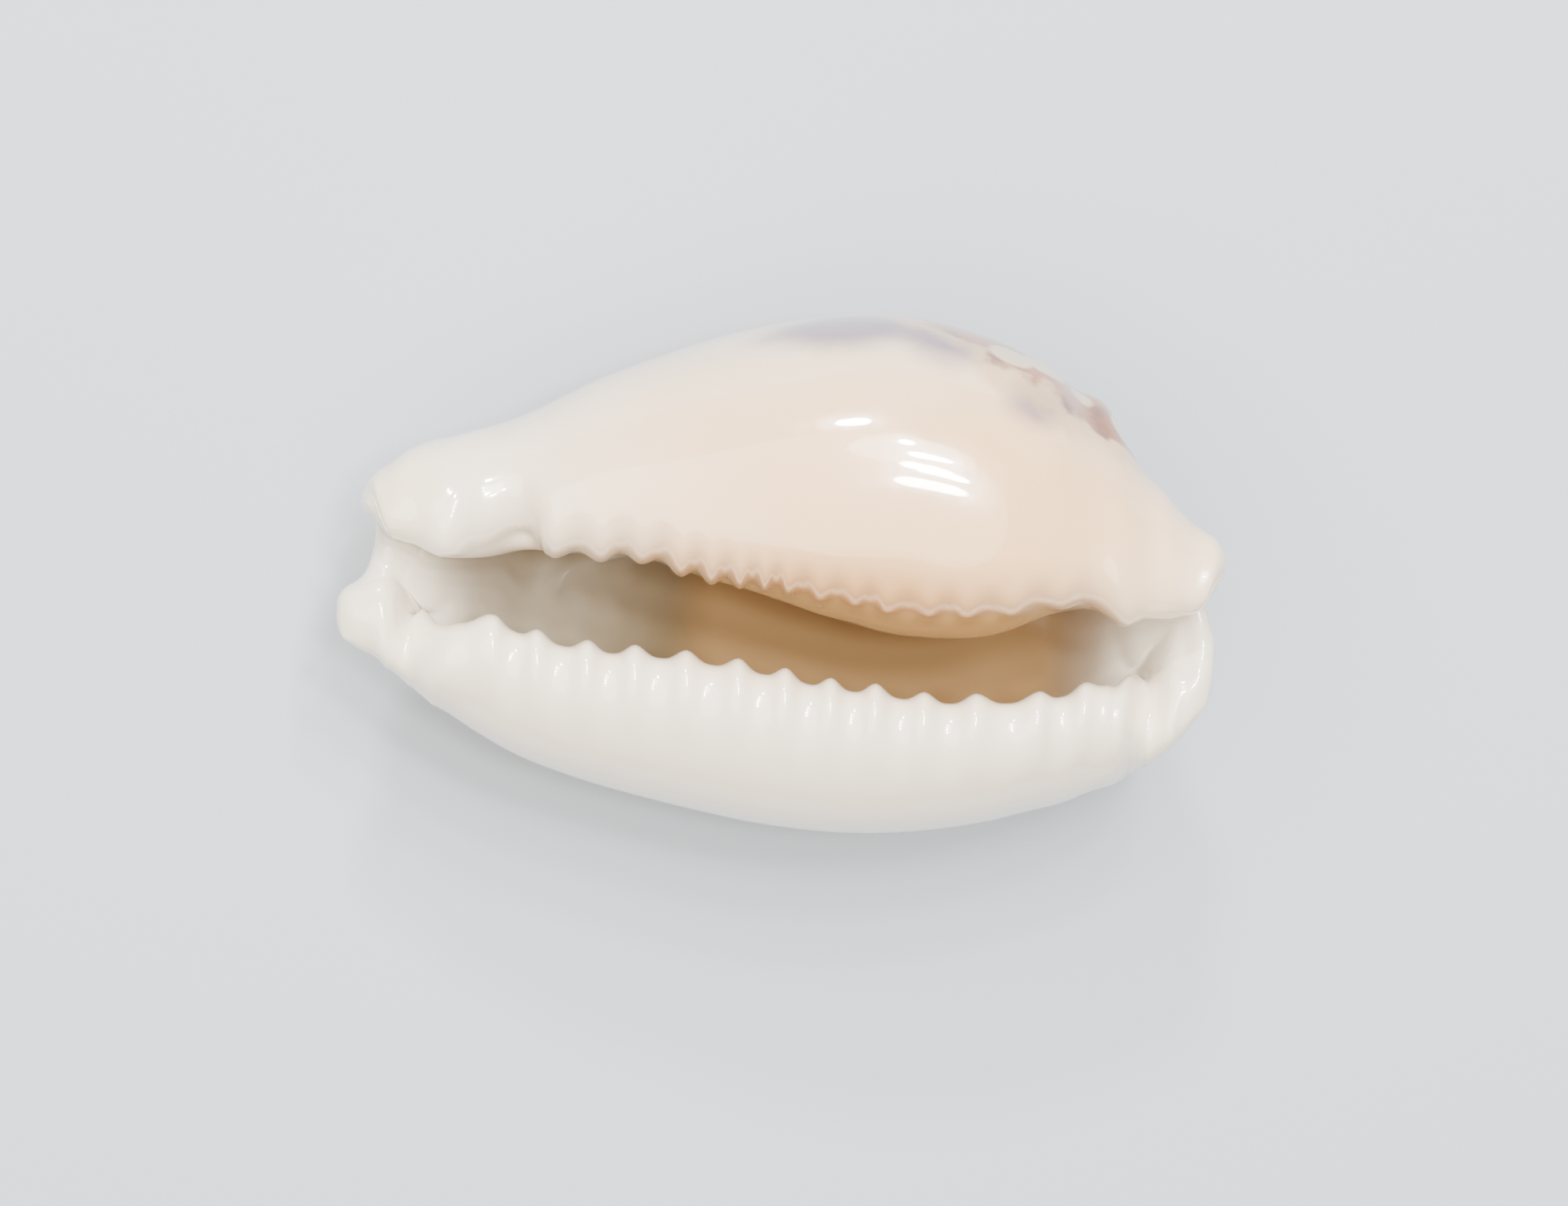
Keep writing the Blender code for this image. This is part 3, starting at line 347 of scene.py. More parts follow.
def section(x, counts):
    n_edge, n_body, n_turn, n_whorl = counts
    tooth = scallop(OUTER_TEETH, x, 1.6) * float(fade(x, -9.5, -8.7) * (1 - fade(x, 10.2, 11.6)))
    e = max(float(fade(x, -9.0, -11.2)), float(fade(x, 9.4, 11.4)))
    one, two = closed_section(x, tooth), channel_section(x, tooth)

    def mix(name):
        return [(1 - e) * np.asarray(p) + e * np.asarray(q) for p, q in zip(one[name], two[name])]

    y0, z0 = (1 - e) * one['y'] + e * two['y'], (1 - e) * one['z'] + e * two['z']
    mid_y = curve(MID_Y, x)
    (lt, ll, lw), (et, el, ew) = mix('outer'), mix('edge')
    (ct, lc, cw), (rt, l1, l2, rw) = mix('inner'), mix('roll')
    n = FINE_ROLL // 3
    ly, lz = walk(y0, z0, math.pi - lt, float(ll))
    cy, cz = walk(y0, z0, ct, float(lc))
    if e > 0:
        q = np.clip((ll - np.linspace(0, ll, FINE_BODY) + el) / lw, 0, 1)
        ly = ly + mid_y - curve(REACH_OUTER, x) - (ly - np.sin(lt) * lw * np.sqrt(1 - (1 - q) ** 2)).min()
        cy = cy + mid_y + curve(REACH_INNER, x) - (cy + np.sin(ct) * cw).max()
    ey, ez = walk(ly[-1], lz[-1], math.pi - et, float(el))
    r1y, r1z = walk(cy[-1], cz[-1], rt[:n + 1], float(l1))
    r2y, r2z = walk(r1y[-1], r1z[-1], rt[n:], float(l2))
    y = np.concatenate([ey[::-1], ly[::-1][1:], cy[1:], r1y[1:], r2y[1:]])
    z = np.concatenate([ez[::-1], lz[::-1][1:], cz[1:], r1z[1:], r2z[1:]])
    w = np.concatenate([ew[::-1], lw[::-1][1:], cw[1:], rw[:n + 1][1:], rw[n:][1:]])
    arc = arc_length(y, z)
    bottom = len(ey) + len(ly) - 2
    crest = bottom + len(cy) - 1
    edge_len, crest_at, turn_len = arc[len(ey) - 1], arc[crest], arc[crest + n] - arc[crest]
    whorl_len = arc[-1] - crest_at - turn_len

    def outward(y, z):
        gy, gz = np.gradient(y, arc), np.gradient(z, arc)
        size = np.hypot(gy, gz)
        ny, nz = gz / size, -gy / size
        return (ny, nz) if nz[bottom] < 0 else (-ny, -nz)

    ny, nz = outward(y, z)
    bearing = np.degrees(np.arctan2(-(y - mid_y), z - curve(MID_Z, x))) % 360
    spread = ((x - KNOB_X) / KNOB_LENGTH) ** 2 + ((bearing - KNOB_BEARING) / KNOB_WIDTH) ** 2
    bump = KNOB_HEIGHT * np.exp(-spread) * (arc < crest_at - 0.5)
    y, z = y + bump * ny, z + bump * nz

    bend = np.abs(np.gradient(np.unwrap(np.arctan2(np.gradient(z, arc), np.gradient(y, arc))), arc))
    even = np.linspace(0, arc[-1], 1200)
    m = max(1, int(BEND_WINDOW / even[1]))
    bend = np.pad(np.interp(even, arc, bend), m, mode='edge')
    bend = np.convolve(bend, np.ones(2 * m + 1) / (2 * m + 1), 'valid')
    w_in = w / (1 + (np.interp(arc, even, bend) * w / TIGHTEST_INSIDE) ** 4) ** 0.25
    ny, nz = outward(y, z)

    d0, d1 = np.clip(arc / w, 0, 1), np.clip((arc[-1] - arc) / w, 0, 1)
    cap = np.sqrt((1 - (1 - d0) ** 2) * (1 - (1 - d1) ** 2))
    k = arc - crest_at
    ribs = (1 - fade(arc, 0.7, 2.3)) * float(fade(x, -9.6, -8.8) * (1 - fade(x, 10.0, 11.0)))
    roll_band = fade(k, turn_len * 0.2, turn_len * 0.7) * (1 - fade(k, turn_len * 0.95, turn_len + 0.7))
    dent = DENT_DEPTH * float(fade(x, -8.75, -7.8) * (1 - fade(x, -7.55, -7.0)))
    w, w_in = w - dent * roll_band, w_in - dent * roll_band
    gate = float(fade(x, -7.5, -7.0) * (1 - 0.75 * fade(x, 9.2, 9.8)) * (1 - fade(x, 11.3, 12)))
    ridges = roll_band * gate * (1 - 0.33 * float(fade(x, -2, 1)))
    side_in, side_out = curve(MARGIN_INNER, x), curve(MARGIN_OUTER, x)
    dorsum = np.minimum(bearing - side_out, side_in - bearing) / 90
    past = k - turn_len

    q = np.concatenate([edge_len * (np.arange(n_edge) / n_edge) ** 1.6,
                        edge_len + np.arange(n_body) / n_body * (crest_at - edge_len),
                        crest_at + np.arange(n_turn) / n_turn * turn_len,
                        crest_at + turn_len + np.linspace(0, 1, n_whorl) ** 0.9 * whorl_len])
    columns = (y, z, ny, nz, cap * w, cap * w_in, w, ribs, ridges, dorsum, past, arc)
    return [np.interp(q, arc, v) for v in columns]


# %% [markdown]
# ## Lines along the shell
# The long lines of the mesh follow the teeth: the same number of cells lies between two crests of the outer
# lip and between two crests of the inner lip, so that a crest never falls between two lines.

# %% Station lines
FRONT_OUTER = [0, 0.035, 0.12, 0.26, 0.42, 0.57, 0.72, 0.86]
FRONT_INNER = [0, 0.03, 0.1, 0.2, 0.31, 0.42, 0.53, 0.64, 0.76, 0.88]
SPIRE_OUTER = [0.28, 0.55, 0.78, 0.94, 1]
SPIRE_INNER = [0.2, 0.4, 0.58, 0.74, 0.87, 0.96, 1]


def lip_line(front, per_tooth, crests, end, a, b):
    k = np.arange((len(crests) - 1) * per_tooth + 1) / per_tooth
    middle = np.interp(k, np.arange(len(crests)), crests)
    return np.concatenate([a + (crests[0] - a) * np.array(front), middle,
                           crests[-1] + (b - crests[-1]) * np.array(end)])


def station_lines(shares, fine):
    rim_a, rim_b = curve(RIM_FRONT, shares), curve(RIM_SPIRE, shares)
    outer = lip_line(FRONT_OUTER, 4, OUTER_TEETH, SPIRE_OUTER, rim_a[0], rim_b[0])
    inner = lip_line(FRONT_INNER, 3, INNER_TEETH, SPIRE_INNER, rim_a[-1], rim_b[-1])
    back = (outer + inner) / 2
    index = np.arange(len(outer) * fine - fine + 1) / fine
    outer, inner, back = (np.interp(index, np.arange(len(v)), v) for v in (outer, inner, back))
    near_outer, near_inner = 1 - fade(shares, 0.08, 0.35), fade(shares, 0.6, 0.88)
    x = (outer[:, None] * near_outer + inner[:, None] * near_inner
         + back[:, None] * (1 - near_outer - near_inner))
    shift_a, shift_b = rim_a - x[0], rim_b - x[-1]
    return (x + shift_a * np.clip(1 - (x - x[0]) / 4.0, 0, 1)
            + shift_b * np.clip(1 - (x[-1] - x) / 2.5, 0, 1))


# %% Two faces of the wall
STATIONS, HALF_LENGTH = 320, 13.6
CELLS_ACROSS = (12, 90, 14, 16)  # outer lip's edge, body, roll of the inner lip, inner whorl
LINES_PER_CELL = 3
EDGE_ENDS, BODY_ENDS, TURN_ENDS = 0.10, 0.9, 0.97  # shares of the way across


def sheet(counts, fine):
    n_edge, n_body, n_turn, n_whorl = counts
    xs = np.linspace(-HALF_LENGTH, HALF_LENGTH, STATIONS)
    table = np.array([np.stack(section(float(x), counts), axis=1) for x in xs])
    shares = np.concatenate([np.linspace(0, EDGE_ENDS, n_edge, endpoint=False),
                             np.linspace(EDGE_ENDS, BODY_ENDS, n_body, endpoint=False),
                             np.linspace(BODY_ENDS, TURN_ENDS, n_turn, endpoint=False),
                             np.linspace(TURN_ENDS, 1, n_whorl)])
    x = station_lines(shares, fine)
    at = np.zeros(x.shape + (table.shape[2],))
    for j in range(x.shape[1]):
        for c in range(table.shape[2]):
            at[:, j, c] = np.interp(x[:, j], xs, table[:, j, c])
    middle = np.stack([x, at[:, :, 0], at[:, :, 1]], axis=-1)
    normal = np.stack([np.zeros_like(x), at[:, :, 2], at[:, :, 3]], axis=-1)
    normal = normal / np.linalg.norm(normal, axis=2, keepdims=True)
    walked = np.concatenate([np.zeros((1, x.shape[1])),
                             np.cumsum(np.linalg.norm(np.diff(middle, axis=0), axis=2), axis=0)])
    ds, dt = np.gradient(middle, axis=0), np.gradient(middle, axis=1)
    ends = np.ones_like(x)
    for row, distance in ((0, walked), (-1, walked[-1:] - walked)):
        angle = np.linalg.norm(np.cross(ds[row], dt[row]), axis=-1)
        angle = angle / (np.linalg.norm(ds[row], axis=-1) * np.linalg.norm(dt[row], axis=-1) + 1e-12)
        ends = ends * np.sqrt(1 - (1 - np.clip(distance * angle / at[:, :, 6], 0, 1)) ** 2)
    out, inn = at[:, :, 4] * ends, at[:, :, 5] * ends
    print("sections:", STATIONS, " cells:", x.shape[0] - 1, "along and", x.shape[1] - 1, "across")
    return middle, normal, out, inn, at, np.broadcast_to(shares, x.shape)


middle, normal, out, inn, at, shares = sheet(CELLS_ACROSS, LINES_PER_CELL)

# %% [markdown]
# ## The skin
# Each face of the wall starts as a plain grid whose corners are put in place, and the two are joined along
# their common edge, so the shell is one closed skin. What the finish needs later is kept on the corners:
# the place in the shell's own axes, how far round the wall it is, and which face it is on.

# %% Build the closed skin
LAYERS = ("within", "ribs", "ridges", "outer_phase", "inner_phase", "dorsum", "into_mouth", "from_lip")


def skin_face(bm, points, pushes, values, inwards):
    rows, cols = points.shape[:2]
    made = bmesh.ops.create_grid(bm, x_segments=cols - 1, y_segments=rows - 1, size=1.0)['verts']
    place = sorted(made, key=lambda v: (round(v.co.y, 5), round(v.co.x, 5)))
    own = bm.verts.layers.float_vector["place"]
    push = bm.verts.layers.float_vector["push"]
    layers = [bm.verts.layers.float[name] for name in LAYERS]
    laid = lie_down(points).reshape(-1, 3)
    laid_push = lie_down(pushes, move=False).reshape(-1, 3)
    flat_points, flat_values = points.reshape(-1, 3), values.reshape(-1, len(LAYERS))
    for i, v in enumerate(place):
        v.co = laid[i]
        v[own] = flat_points[i]
        v[push] = laid_push[i]
        for layer, value in zip(layers, flat_values[i]):
            v[layer] = value
    if inwards:
        bmesh.ops.reverse_faces(bm, faces=list({f for v in made for f in v.link_faces}))


bm = bmesh.new()
for name in ("place", "push"):
    bm.verts.layers.float_vector.new(name)
for name in LAYERS:
    bm.verts.layers.float.new(name)
outer_phase = np.interp(middle[..., 0], OUTER_TEETH, np.arange(len(OUTER_TEETH)))
inner_phase = np.interp(middle[..., 0], INNER_TEETH, np.arange(len(INNER_TEETH)))
for side, thick in enumerate((out, inn)):
    sign = 1 - 2 * side
    share = thick / np.maximum(at[:, :, 6], 1e-6)
    values = np.stack([np.full_like(shares, side), at[:, :, 7], at[:, :, 8], outer_phase, inner_phase,
                       at[:, :, 9], at[:, :, 10], at[:, :, 11]], axis=-1)
    skin_face(bm, middle + sign * normal * thick[..., None], sign * normal * share[..., None], values,
              side == 1)
bmesh.ops.remove_doubles(bm, verts=bm.verts, dist=1e-7)
bmesh.ops.recalc_face_normals(bm, faces=bm.faces)
print("closed skin:", len(bm.verts), "corners, open edges:", sum(1 for e in bm.edges if not e.is_manifold))

# %% [markdown]
# ## The resting spot
# The shell lies on a small flat of its rounded back. The skin reaches 0.38 mm under the floor there, so
# its lowest corners are simply brought up to the floor.

# %% Flatten the resting spot
for v in bm.verts:
    v.co.z = max(v.co.z, 0.0)
skin = bpy.data.meshes.new("porcelain skin")
bm.to_mesh(skin)
bm.free()
skin.shade_smooth()
bare_shell = bpy.data.objects.new("bare_shell", skin)
bpy.context.scene.collection.objects.link(bare_shell)
print("skin triangles:", sum(len(p.vertices) - 2 for p in skin.polygons))

# %% [markdown]
# ## Teeth of the two lips
# The teeth repeat by a rule: one crest for each whole number of the tooth count that runs along a lip. A
# node tree reads that count, makes a rounded wave of it and pushes the skin out along its own direction,
# only in the band where that lip is toothed. Heights and sharpness stay open as named inputs.

# %% A node tree that raises the teeth
def add(tree, kind, **settings):
    made = tree.nodes.new(kind)
    for name, value in settings.items():
        setattr(made, name, value)
    return made


def math_node(tree, operation, a, b=None, c=None):
    made = add(tree, "ShaderNodeMath", operation=operation)
    for i, value in enumerate((a, b, c)):
        if value is None:
            continue
        if isinstance(value, (int, float)):
            made.inputs[i].default_value = value
        else:
            tree.links.new(value, made.inputs[i])
    return made.outputs[0]


teeth = bpy.data.node_groups.new("raised teeth", "GeometryNodeTree")
teeth.interface.new_socket("Geometry", in_out="INPUT", socket_type="NodeSocketGeometry")
TOOTH_SIZES = {"Outer tooth height": 0.14, "Outer tooth sharpness": 1.6, "Inner tooth height": 0.30,
               "Inner tooth sharpness": 1.0, "Share below the skin": 0.33}
for name, value in TOOTH_SIZES.items():
    teeth.interface.new_socket(name, in_out="INPUT", socket_type="NodeSocketFloat").default_value = value
teeth.interface.new_socket("Finish", in_out="INPUT", socket_type="NodeSocketMaterial")
teeth.interface.new_socket("Geometry", in_out="OUTPUT", socket_type="NodeSocketGeometry")
given, result = add(teeth, "NodeGroupInput"), add(teeth, "NodeGroupOutput")


def kept(name, kind="FLOAT"):
    made = add(teeth, "GeometryNodeInputNamedAttribute", data_type=kind)
    made.inputs["Name"].default_value = name
    return made.outputs["Attribute"]


def wave(count, height, sharpness, band):
    swing = math_node(teeth, "COSINE", math_node(teeth, "MULTIPLY", kept(count), 2 * math.pi))
    crest = math_node(teeth, "MULTIPLY_ADD", swing, 0.5, 0.5)
    crest = math_node(teeth, "POWER", crest, given.outputs[sharpness])
    raised = math_node(teeth, "SUBTRACT", crest, given.outputs["Share below the skin"])
    raised = math_node(teeth, "MULTIPLY", raised, given.outputs[height])
    return math_node(teeth, "MULTIPLY", raised, kept(band))


outer = wave("outer_phase", "Outer tooth height", "Outer tooth sharpness", "ribs")
inner = wave("inner_phase", "Inner tooth height", "Inner tooth sharpness", "ridges")
push = add(teeth, "ShaderNodeVectorMath", operation="SCALE")
teeth.links.new(kept("push", "FLOAT_VECTOR"), push.inputs[0])
teeth.links.new(math_node(teeth, "ADD", outer, inner), push.inputs["Scale"])
moved = add(teeth, "GeometryNodeSetPosition")
real = add(teeth, "GeometryNodeRealizeInstances")
finished = add(teeth, "GeometryNodeSetMaterial")
teeth.links.new(given.outputs["Geometry"], moved.inputs["Geometry"])
teeth.links.new(push.outputs[0], moved.inputs["Offset"])
teeth.links.new(moved.outputs["Geometry"], real.inputs["Geometry"])
teeth.links.new(real.outputs["Geometry"], finished.inputs["Geometry"])
teeth.links.new(given.outputs["Finish"], finished.inputs["Material"])
teeth.links.new(finished.outputs["Geometry"], result.inputs["Geometry"])
print("teeth tree:", len(teeth.nodes), "nodes")

# %% [markdown]
# ## Porcelain finish
# A cowrie keeps its glaze because the living animal wraps it. Under the glaze the ground is a warm white
# that turns cream and a little pink on the swelling beside the inner lip, with faint lilac clouds on the
# margin. Each tint is a soft patch in the shell's own axes, so one small node group makes all of them.

# %% Colour helpers
def screen(r, g, b):
    """A colour given as 0 to 255, as a linear colour."""
    parts = (v / 255 for v in (r, g, b))
    return tuple(v / 12.92 if v <= 0.04 else ((v + 0.055) / 1.055) ** 2.4 for v in parts) + (1.0,)


def smooth_step(tree, value, low, high):
    made = add(tree, "ShaderNodeMapRange", interpolation_type="SMOOTHSTEP")
    tree.links.new(value, made.inputs["Value"])
    for name, given_value in (("From Min", low), ("From Max", high)):
        if isinstance(given_value, (int, float)):
            made.inputs[name].default_value = given_value
        else:
            tree.links.new(given_value, made.inputs[name])
    return made.outputs["Result"]


def dial(node, values):
    """Plain values for a node's inputs, by name."""
    for name, value in values.items():
        node.inputs[name].default_value = value
    return node


def one_minus(tree, value):
    return math_node(tree, "SUBTRACT", 1.0, value)


def vector_node(tree, operation, a, b=None):
    made = add(tree, "ShaderNodeVectorMath", operation=operation)
    for i, value in enumerate((a, b)):
        if value is not None:
            tree.links.new(value, made.inputs[i])
    return made.outputs["Value" if operation == "LENGTH" else "Vector"]


# %% Node group: one soft patch of colour
patch = bpy.data.node_groups.new("soft patch", "ShaderNodeTree")
for name in ("Place", "Centre", "Size"):
    patch.interface.new_socket(name, in_out="INPUT", socket_type="NodeSocketVector")
for name in ("Edge", "Unevenness"):
    patch.interface.new_socket(name, in_out="INPUT", socket_type="NodeSocketFloat")
patch.interface.new_socket("Mask", in_out="OUTPUT", socket_type="NodeSocketFloat")
entry, leave = add(patch, "NodeGroupInput"), add(patch, "NodeGroupOutput")
away = vector_node(patch, "LENGTH", vector_node(patch, "DIVIDE", vector_node(
    patch, "SUBTRACT", entry.outputs["Place"], entry.outputs["Centre"]), entry.outputs["Size"]))
cloud = dial(add(patch, "ShaderNodeTexNoise"), {"Scale": 0.45, "Detail": 3.0})
patch.links.new(entry.outputs["Place"], cloud.inputs["Vector"])
uneven = math_node(patch, "MULTIPLY", math_node(patch, "SUBTRACT", cloud.outputs["Fac"], 0.5),
                   entry.outputs["Unevenness"])
away = math_node(patch, "ADD", away, uneven)
inside_edge = one_minus(patch, entry.outputs["Edge"])
outside_edge = math_node(patch, "ADD", 1.0, entry.outputs["Edge"])
patch.links.new(one_minus(patch, smooth_step(patch, away, inside_edge, outside_edge)), leave.inputs["Mask"])

# %% The porcelain material
glaze = bpy.data.materials.new("glazed porcelain")
glaze.use_nodes = True
tree = glaze.node_tree
shader = tree.nodes["Principled BSDF"]


def read(name, output="Fac"):
    return add(tree, "ShaderNodeAttribute", attribute_name=name).outputs[output]


place = read("place", "Vector")
within, dorsum, into_mouth, from_lip = (read(n) for n in ("within", "dorsum", "into_mouth", "from_lip"))
where = add(tree, "ShaderNodeSeparateXYZ")
tree.links.new(place, where.inputs[0])
along_shell = where.outputs["X"]


def tint(base, mask, colour, strength=1.0):
    """base, turned to colour where the mask is 1."""
    mixed = add(tree, "ShaderNodeMix", data_type="RGBA")
    amount = mask if strength == 1.0 else math_node(tree, "MULTIPLY", mask, strength)
    tree.links.new(amount, mixed.inputs[0])
    for value, socket in ((base, mixed.inputs[6]), (colour, mixed.inputs[7])):
        if isinstance(value, tuple):
            socket.default_value = value
        else:
            tree.links.new(value, socket)
    return mixed.outputs[2]


def soft_patch(centre, size, edge=0.5, uneven=0.3):
    made = add(tree, "ShaderNodeGroup", node_tree=patch)
    tree.links.new(place, made.inputs["Place"])
    dial(made, {"Centre": centre, "Size": size, "Edge": edge, "Unevenness": uneven})
    return made.outputs["Mask"]


# %% Tints of the outside
WHITE_GLAZE, SWELLING, ABOVE_TEETH = screen(246, 233, 211), screen(240, 194, 142), screen(196, 138, 80)
YELLOWISH_BEAK, LILAC = screen(236, 226, 184), screen(116, 96, 118)
LILAC_CLOUDS = (((1.6, 8.4, 1.0), (2.6, 1.3, 1.5)), ((4.6, 8.3, 1.45), (1.5, 1.1, 1.4)),
                ((7.4, 7.1, 3.2), (1.0, 0.8, 1.0)))  # centre and size of each

outside = tint(WHITE_GLAZE, soft_patch((3.5, 4.0, 4.0), (9.0, 4.2, 7.0), 0.6), SWELLING)
outside = tint(outside, soft_patch((1.5, 1.0, 5.4), (7.5, 1.5, 3.0), 0.7), ABOVE_TEETH, 0.8)
outside = tint(outside, soft_patch((-12.0, 3.2, 4.5), (1.6, 1.6, 2.0), 0.6), YELLOWISH_BEAK, 0.5)
for centre, size in LILAC_CLOUDS:
    outside = tint(outside, soft_patch(centre, size, 0.6, 0.8), LILAC, 0.9)

# %% [markdown]
# ## Painted back
# Only a sliver of the patterned back shows at the upper right of the mouth side: brown and cream stripes
# beyond the white margin. The rest follows what such shells have: an orange-brown coat with round pale
# spots. The spots are rounded cells of a cell noise in the shell's own axes.

# %% Pattern of the back
COAT_LIGHT, COAT_DARK = screen(162, 92, 18), screen(112, 52, 8)
PALE_SPOT, CREAM_BORDER = screen(216, 190, 150), screen(214, 176, 126)

cells = dial(add(tree, "ShaderNodeTexVoronoi", feature="F1"), {"Scale": 0.42, "Randomness": 0.75})
tree.links.new(place, cells.inputs["Vector"])
spot = one_minus(tree, smooth_step(tree, cells.outputs["Distance"], 0.28, 0.36))
mottle = dial(add(tree, "ShaderNodeTexNoise"), {"Scale": 0.8, "Detail": 5.0})
tree.links.new(place, mottle.inputs["Vector"])
coat = tint(COAT_LIGHT, smooth_step(tree, mottle.outputs["Fac"], 0.4, 0.65), COAT_DARK)
coat = tint(coat, spot, PALE_SPOT)
edge_wave = math_node(tree, "SUBTRACT", mottle.outputs["Fac"], 0.5)
edge_wave = math_node(tree, "MULTIPLY_ADD", edge_wave, 0.25, dorsum)
outside = tint(outside, smooth_step(tree, edge_wave, -0.12, 0.0), CREAM_BORDER, 0.7)
outside = tint(outside, smooth_step(tree, edge_wave, 0.0, 0.06), coat)

# %% [markdown]
# ## Inside of the mouth
# Past the inner lip a tan strip runs down into the mouth. The lining is greyish brown towards the front and
# tan towards the spire, and it turns white in both channels and next to the outer lip. The grey front is
# its own tone made darker as painted shade deep in the mouth, with a patch of painted light low at the front.
# These bands follow the shell's length or the distance along the wall, so they read values kept on the
# corners.

# %% Tan strip and lining, with painted shade and painted light
TAN_STRIP, TAN_LINING = screen(214, 168, 106), screen(176, 140, 94)
# The grey-brown lining colour is darker than the shell's own tone: partly painted shade deep in the mouth.
GREY_LINING_AND_PAINTED_SHADE, PAINTED_LIGHT_ON_LINING = screen(132, 110, 76), screen(180, 168, 144)
CHANNEL_WHITE, LIP_WHITE = screen(238, 228, 208), screen(240, 228, 206)

strip = smooth_step(tree, into_mouth, -0.1, 0.5)
strip = math_node(tree, "MULTIPLY", strip, smooth_step(tree, along_shell, -4.0, 0.5))
strip = math_node(tree, "MULTIPLY", strip, one_minus(tree, smooth_step(tree, along_shell, 9.0, 10.5)))
outside = tint(outside, strip, TAN_STRIP)
growth = smooth_step(tree, along_shell, -3.6, -1.8)
# The soft patch low at the front is painted light on the lining, where the mouth is more lit; elsewhere the
# lining stays darker.
lining = tint(GREY_LINING_AND_PAINTED_SHADE, soft_patch((-7.5, -1.5, 1.0), (4.5, 3.0, 6.0), 0.7), PAINTED_LIGHT_ON_LINING)
lining = tint(lining, growth, TAN_LINING)
from_middle = math_node(tree, "ABSOLUTE", along_shell)
lining = tint(lining, smooth_step(tree, from_middle, 8.2, 11.0), CHANNEL_WHITE)
lining = tint(lining, one_minus(tree, smooth_step(tree, from_lip, 0.9, 2.6)), LIP_WHITE)
tree.links.new(tint(outside, within, lining), shader.inputs["Base Color"])
print("porcelain:", len(tree.nodes), "nodes")

# %% [markdown]
# ## Gloss
# The glaze is nearly a mirror: a smooth body with a clear coat on top. A very low, wide bump keeps the
# highlights from being perfectly regular, as on the grown surface.

# %% Gloss and a faint unevenness
dial(shader, {"Roughness": 0.22, "Coat Weight": 1.0, "Coat Roughness": 0.04})
wavy = dial(add(tree, "ShaderNodeTexNoise"), {"Scale": 0.7, "Detail": 2.0})
tree.links.new(place, wavy.inputs["Vector"])
bump = dial(add(tree, "ShaderNodeBump"), {"Strength": 0.25, "Distance": 0.0001})
tree.links.new(wavy.outputs["Fac"], bump.inputs["Height"])
tree.links.new(bump.outputs["Normal"], shader.inputs["Normal"])

# %% [markdown]
# ## Raise the teeth and make the piece final
# The tree's inputs are set by their identifiers before the shell is first evaluated. The result is then
# turned into a plain mesh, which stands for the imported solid.

# %% Apply the teeth
raising = bare_shell.modifiers.new("raised teeth", "NODES")
raising.node_group = teeth
by_name = {item.name: item.identifier for item in teeth.interface.items_tree if item.in_out == "INPUT"}
for name, value in TOOTH_SIZES.items():
    raising[by_name[name]] = value
raising[by_name["Finish"]] = glaze
evaluated = bare_shell.evaluated_get(bpy.context.evaluated_depsgraph_get())
final_skin = bpy.data.meshes.new_from_object(evaluated, preserve_all_data_layers=True,
                                             depsgraph=bpy.context.evaluated_depsgraph_get())
final_skin.name = "porcelain_shell"
bare_shell.modifiers.remove(raising)
bpy.data.objects.remove(bare_shell)
porcelain_shell = bpy.data.objects.new("porcelain_shell", final_skin)
bpy.context.scene.collection.objects.link(porcelain_shell)
final_skin.shade_smooth()
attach(porcelain_shell, "root")
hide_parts("shell")
print("finished shell:", len(final_skin.vertices), "corners,", [m.name for m in final_skin.materials])

# %% [markdown]
# ## Floor and light
# A plain pale floor and a warm, even light: one broad soft lamp from above and a bright surrounding. A
# smaller glow lamp and six small bright bulbs stand where their mirror images fall on the swelling beside
# the inner lip. They are the crisp highlights of the glaze.

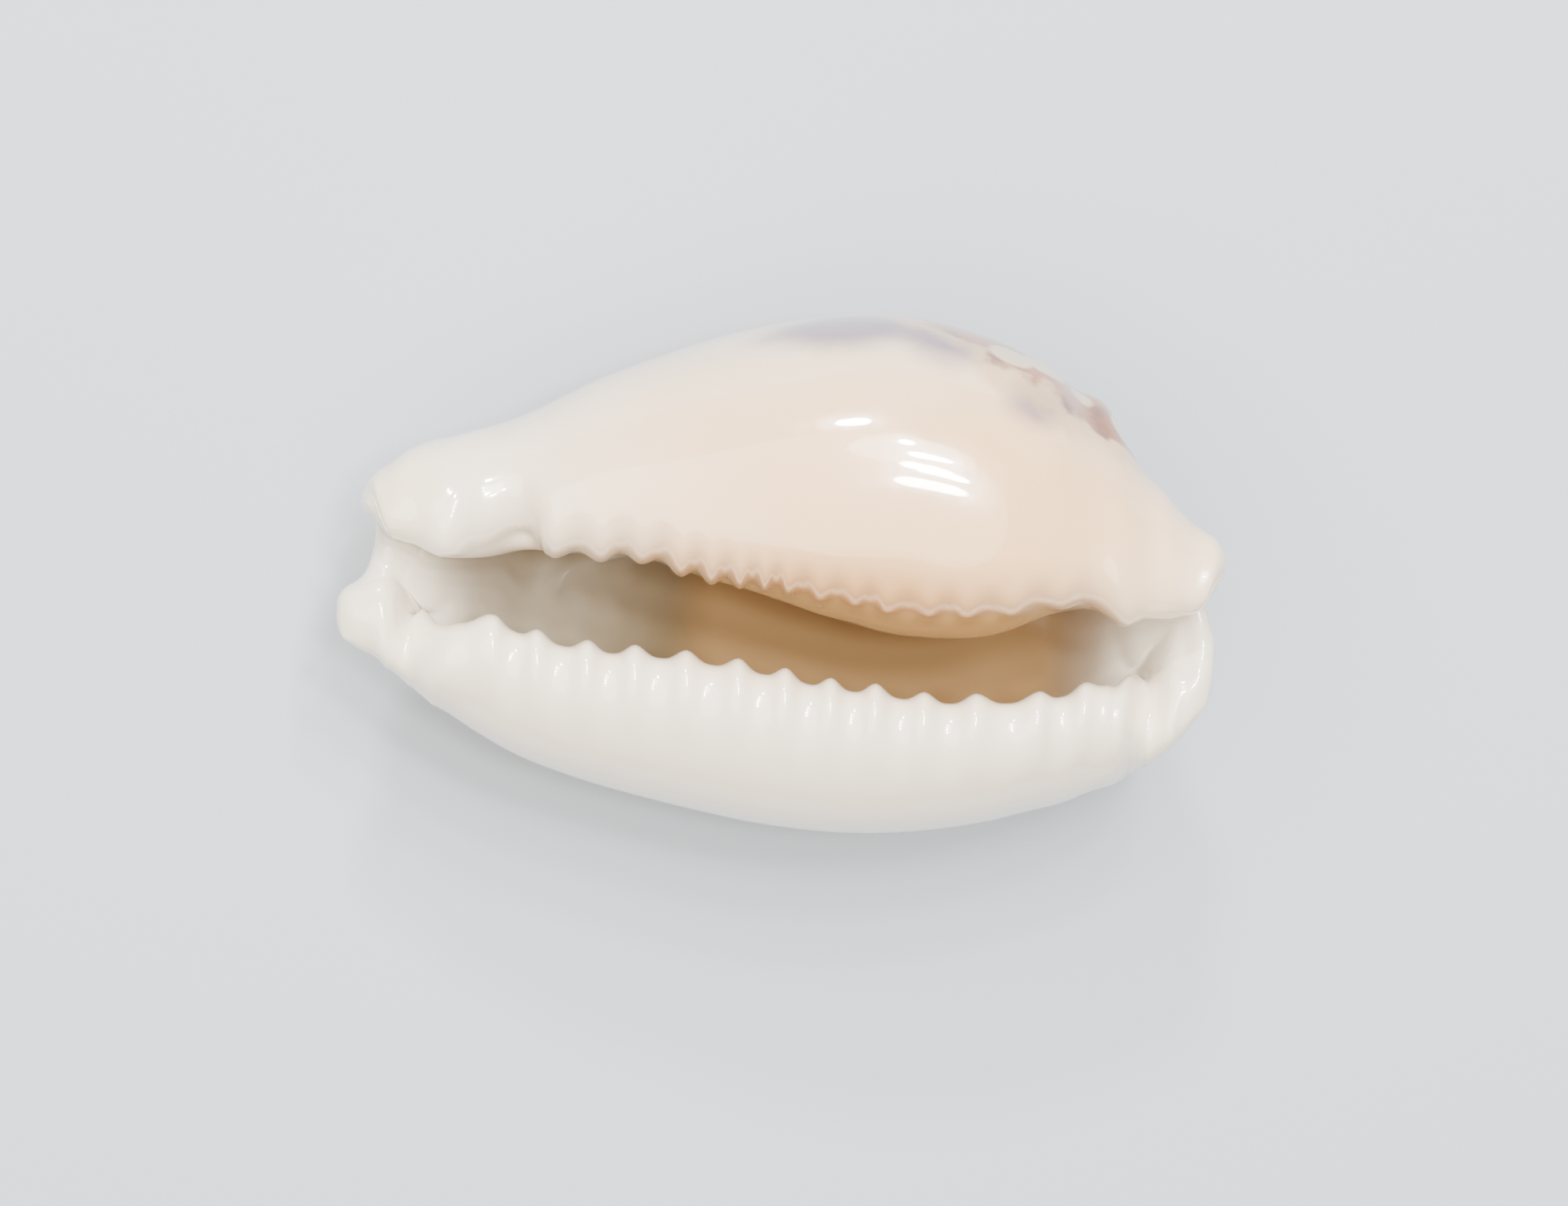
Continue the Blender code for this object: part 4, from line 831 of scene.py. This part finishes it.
# %% Floor
floor_mesh = bpy.data.meshes.new("floor")
bm = bmesh.new()
bmesh.ops.create_grid(bm, x_segments=1, y_segments=1, size=0.6)
bm.to_mesh(floor_mesh)
bm.free()
floor = bpy.data.objects.new("floor", floor_mesh)
bpy.context.scene.collection.objects.link(floor)
floor_finish = bpy.data.materials.new("pale floor")
floor_finish.use_nodes = True
dial(floor_finish.node_tree.nodes["Principled BSDF"], {"Base Color": (0.48, 0.52, 0.57, 1), "Roughness": 0.8})
floor_mesh.materials.append(floor_finish)

# %% Lamps
WARM, WHITE = (1.0, 0.94, 0.87), (1.0, 1.0, 1.0)
SHELL_MIDDLE = Vector((0, 0, 0.006))
BULB_DISTANCE = 0.35
BULBS = [  # direction in the shell's own axes, size in metres, power in watts
    ((-0.06, 0.83, 0.55), 0.034, 1.0),
    ((0.14, 0.68, 0.72), 0.020, 0.35),
    ((0.15, 0.49, 0.86), 0.024, 0.40),
    ((0.17, 0.58, 0.79), 0.020, 0.35),
    ((0.14, 0.35, 0.93), 0.030, 0.60),
    ((0.18, 0.45, 0.87), 0.018, 0.30),
]


def lamp(name, shell_direction, distance, size, power, colour):
    data = bpy.data.lights.new(name, "AREA")
    data.shape, data.size, data.energy, data.color = "DISK", size, power, colour
    made = bpy.data.objects.new(name, data)
    bpy.context.scene.collection.objects.link(made)
    way = direction(*shell_direction).normalized()
    made.location = SHELL_MIDDLE + way * distance
    made.rotation_mode = "QUATERNION"
    made.rotation_quaternion = way.to_track_quat("Z", "Y")


lamp("broad lamp", (-0.3, 0.5, 1.6), 0.50, 0.60, 4.8, WARM)
lamp("glow lamp", (0.10, 0.62, 0.76), BULB_DISTANCE, 0.11, 0.5, WARM)
for number, (way, size, power) in enumerate(BULBS):
    lamp(f"bulb_{number}", way, BULB_DISTANCE, size, power, WHITE)

room = bpy.data.worlds.new("studio")
room.use_nodes = True
dial(room.node_tree.nodes["Background"], {"Color": (1.0, 0.95, 0.88, 1), "Strength": 0.5})
bpy.context.scene.world = room
print("lamps:", len(BULBS) + 2)
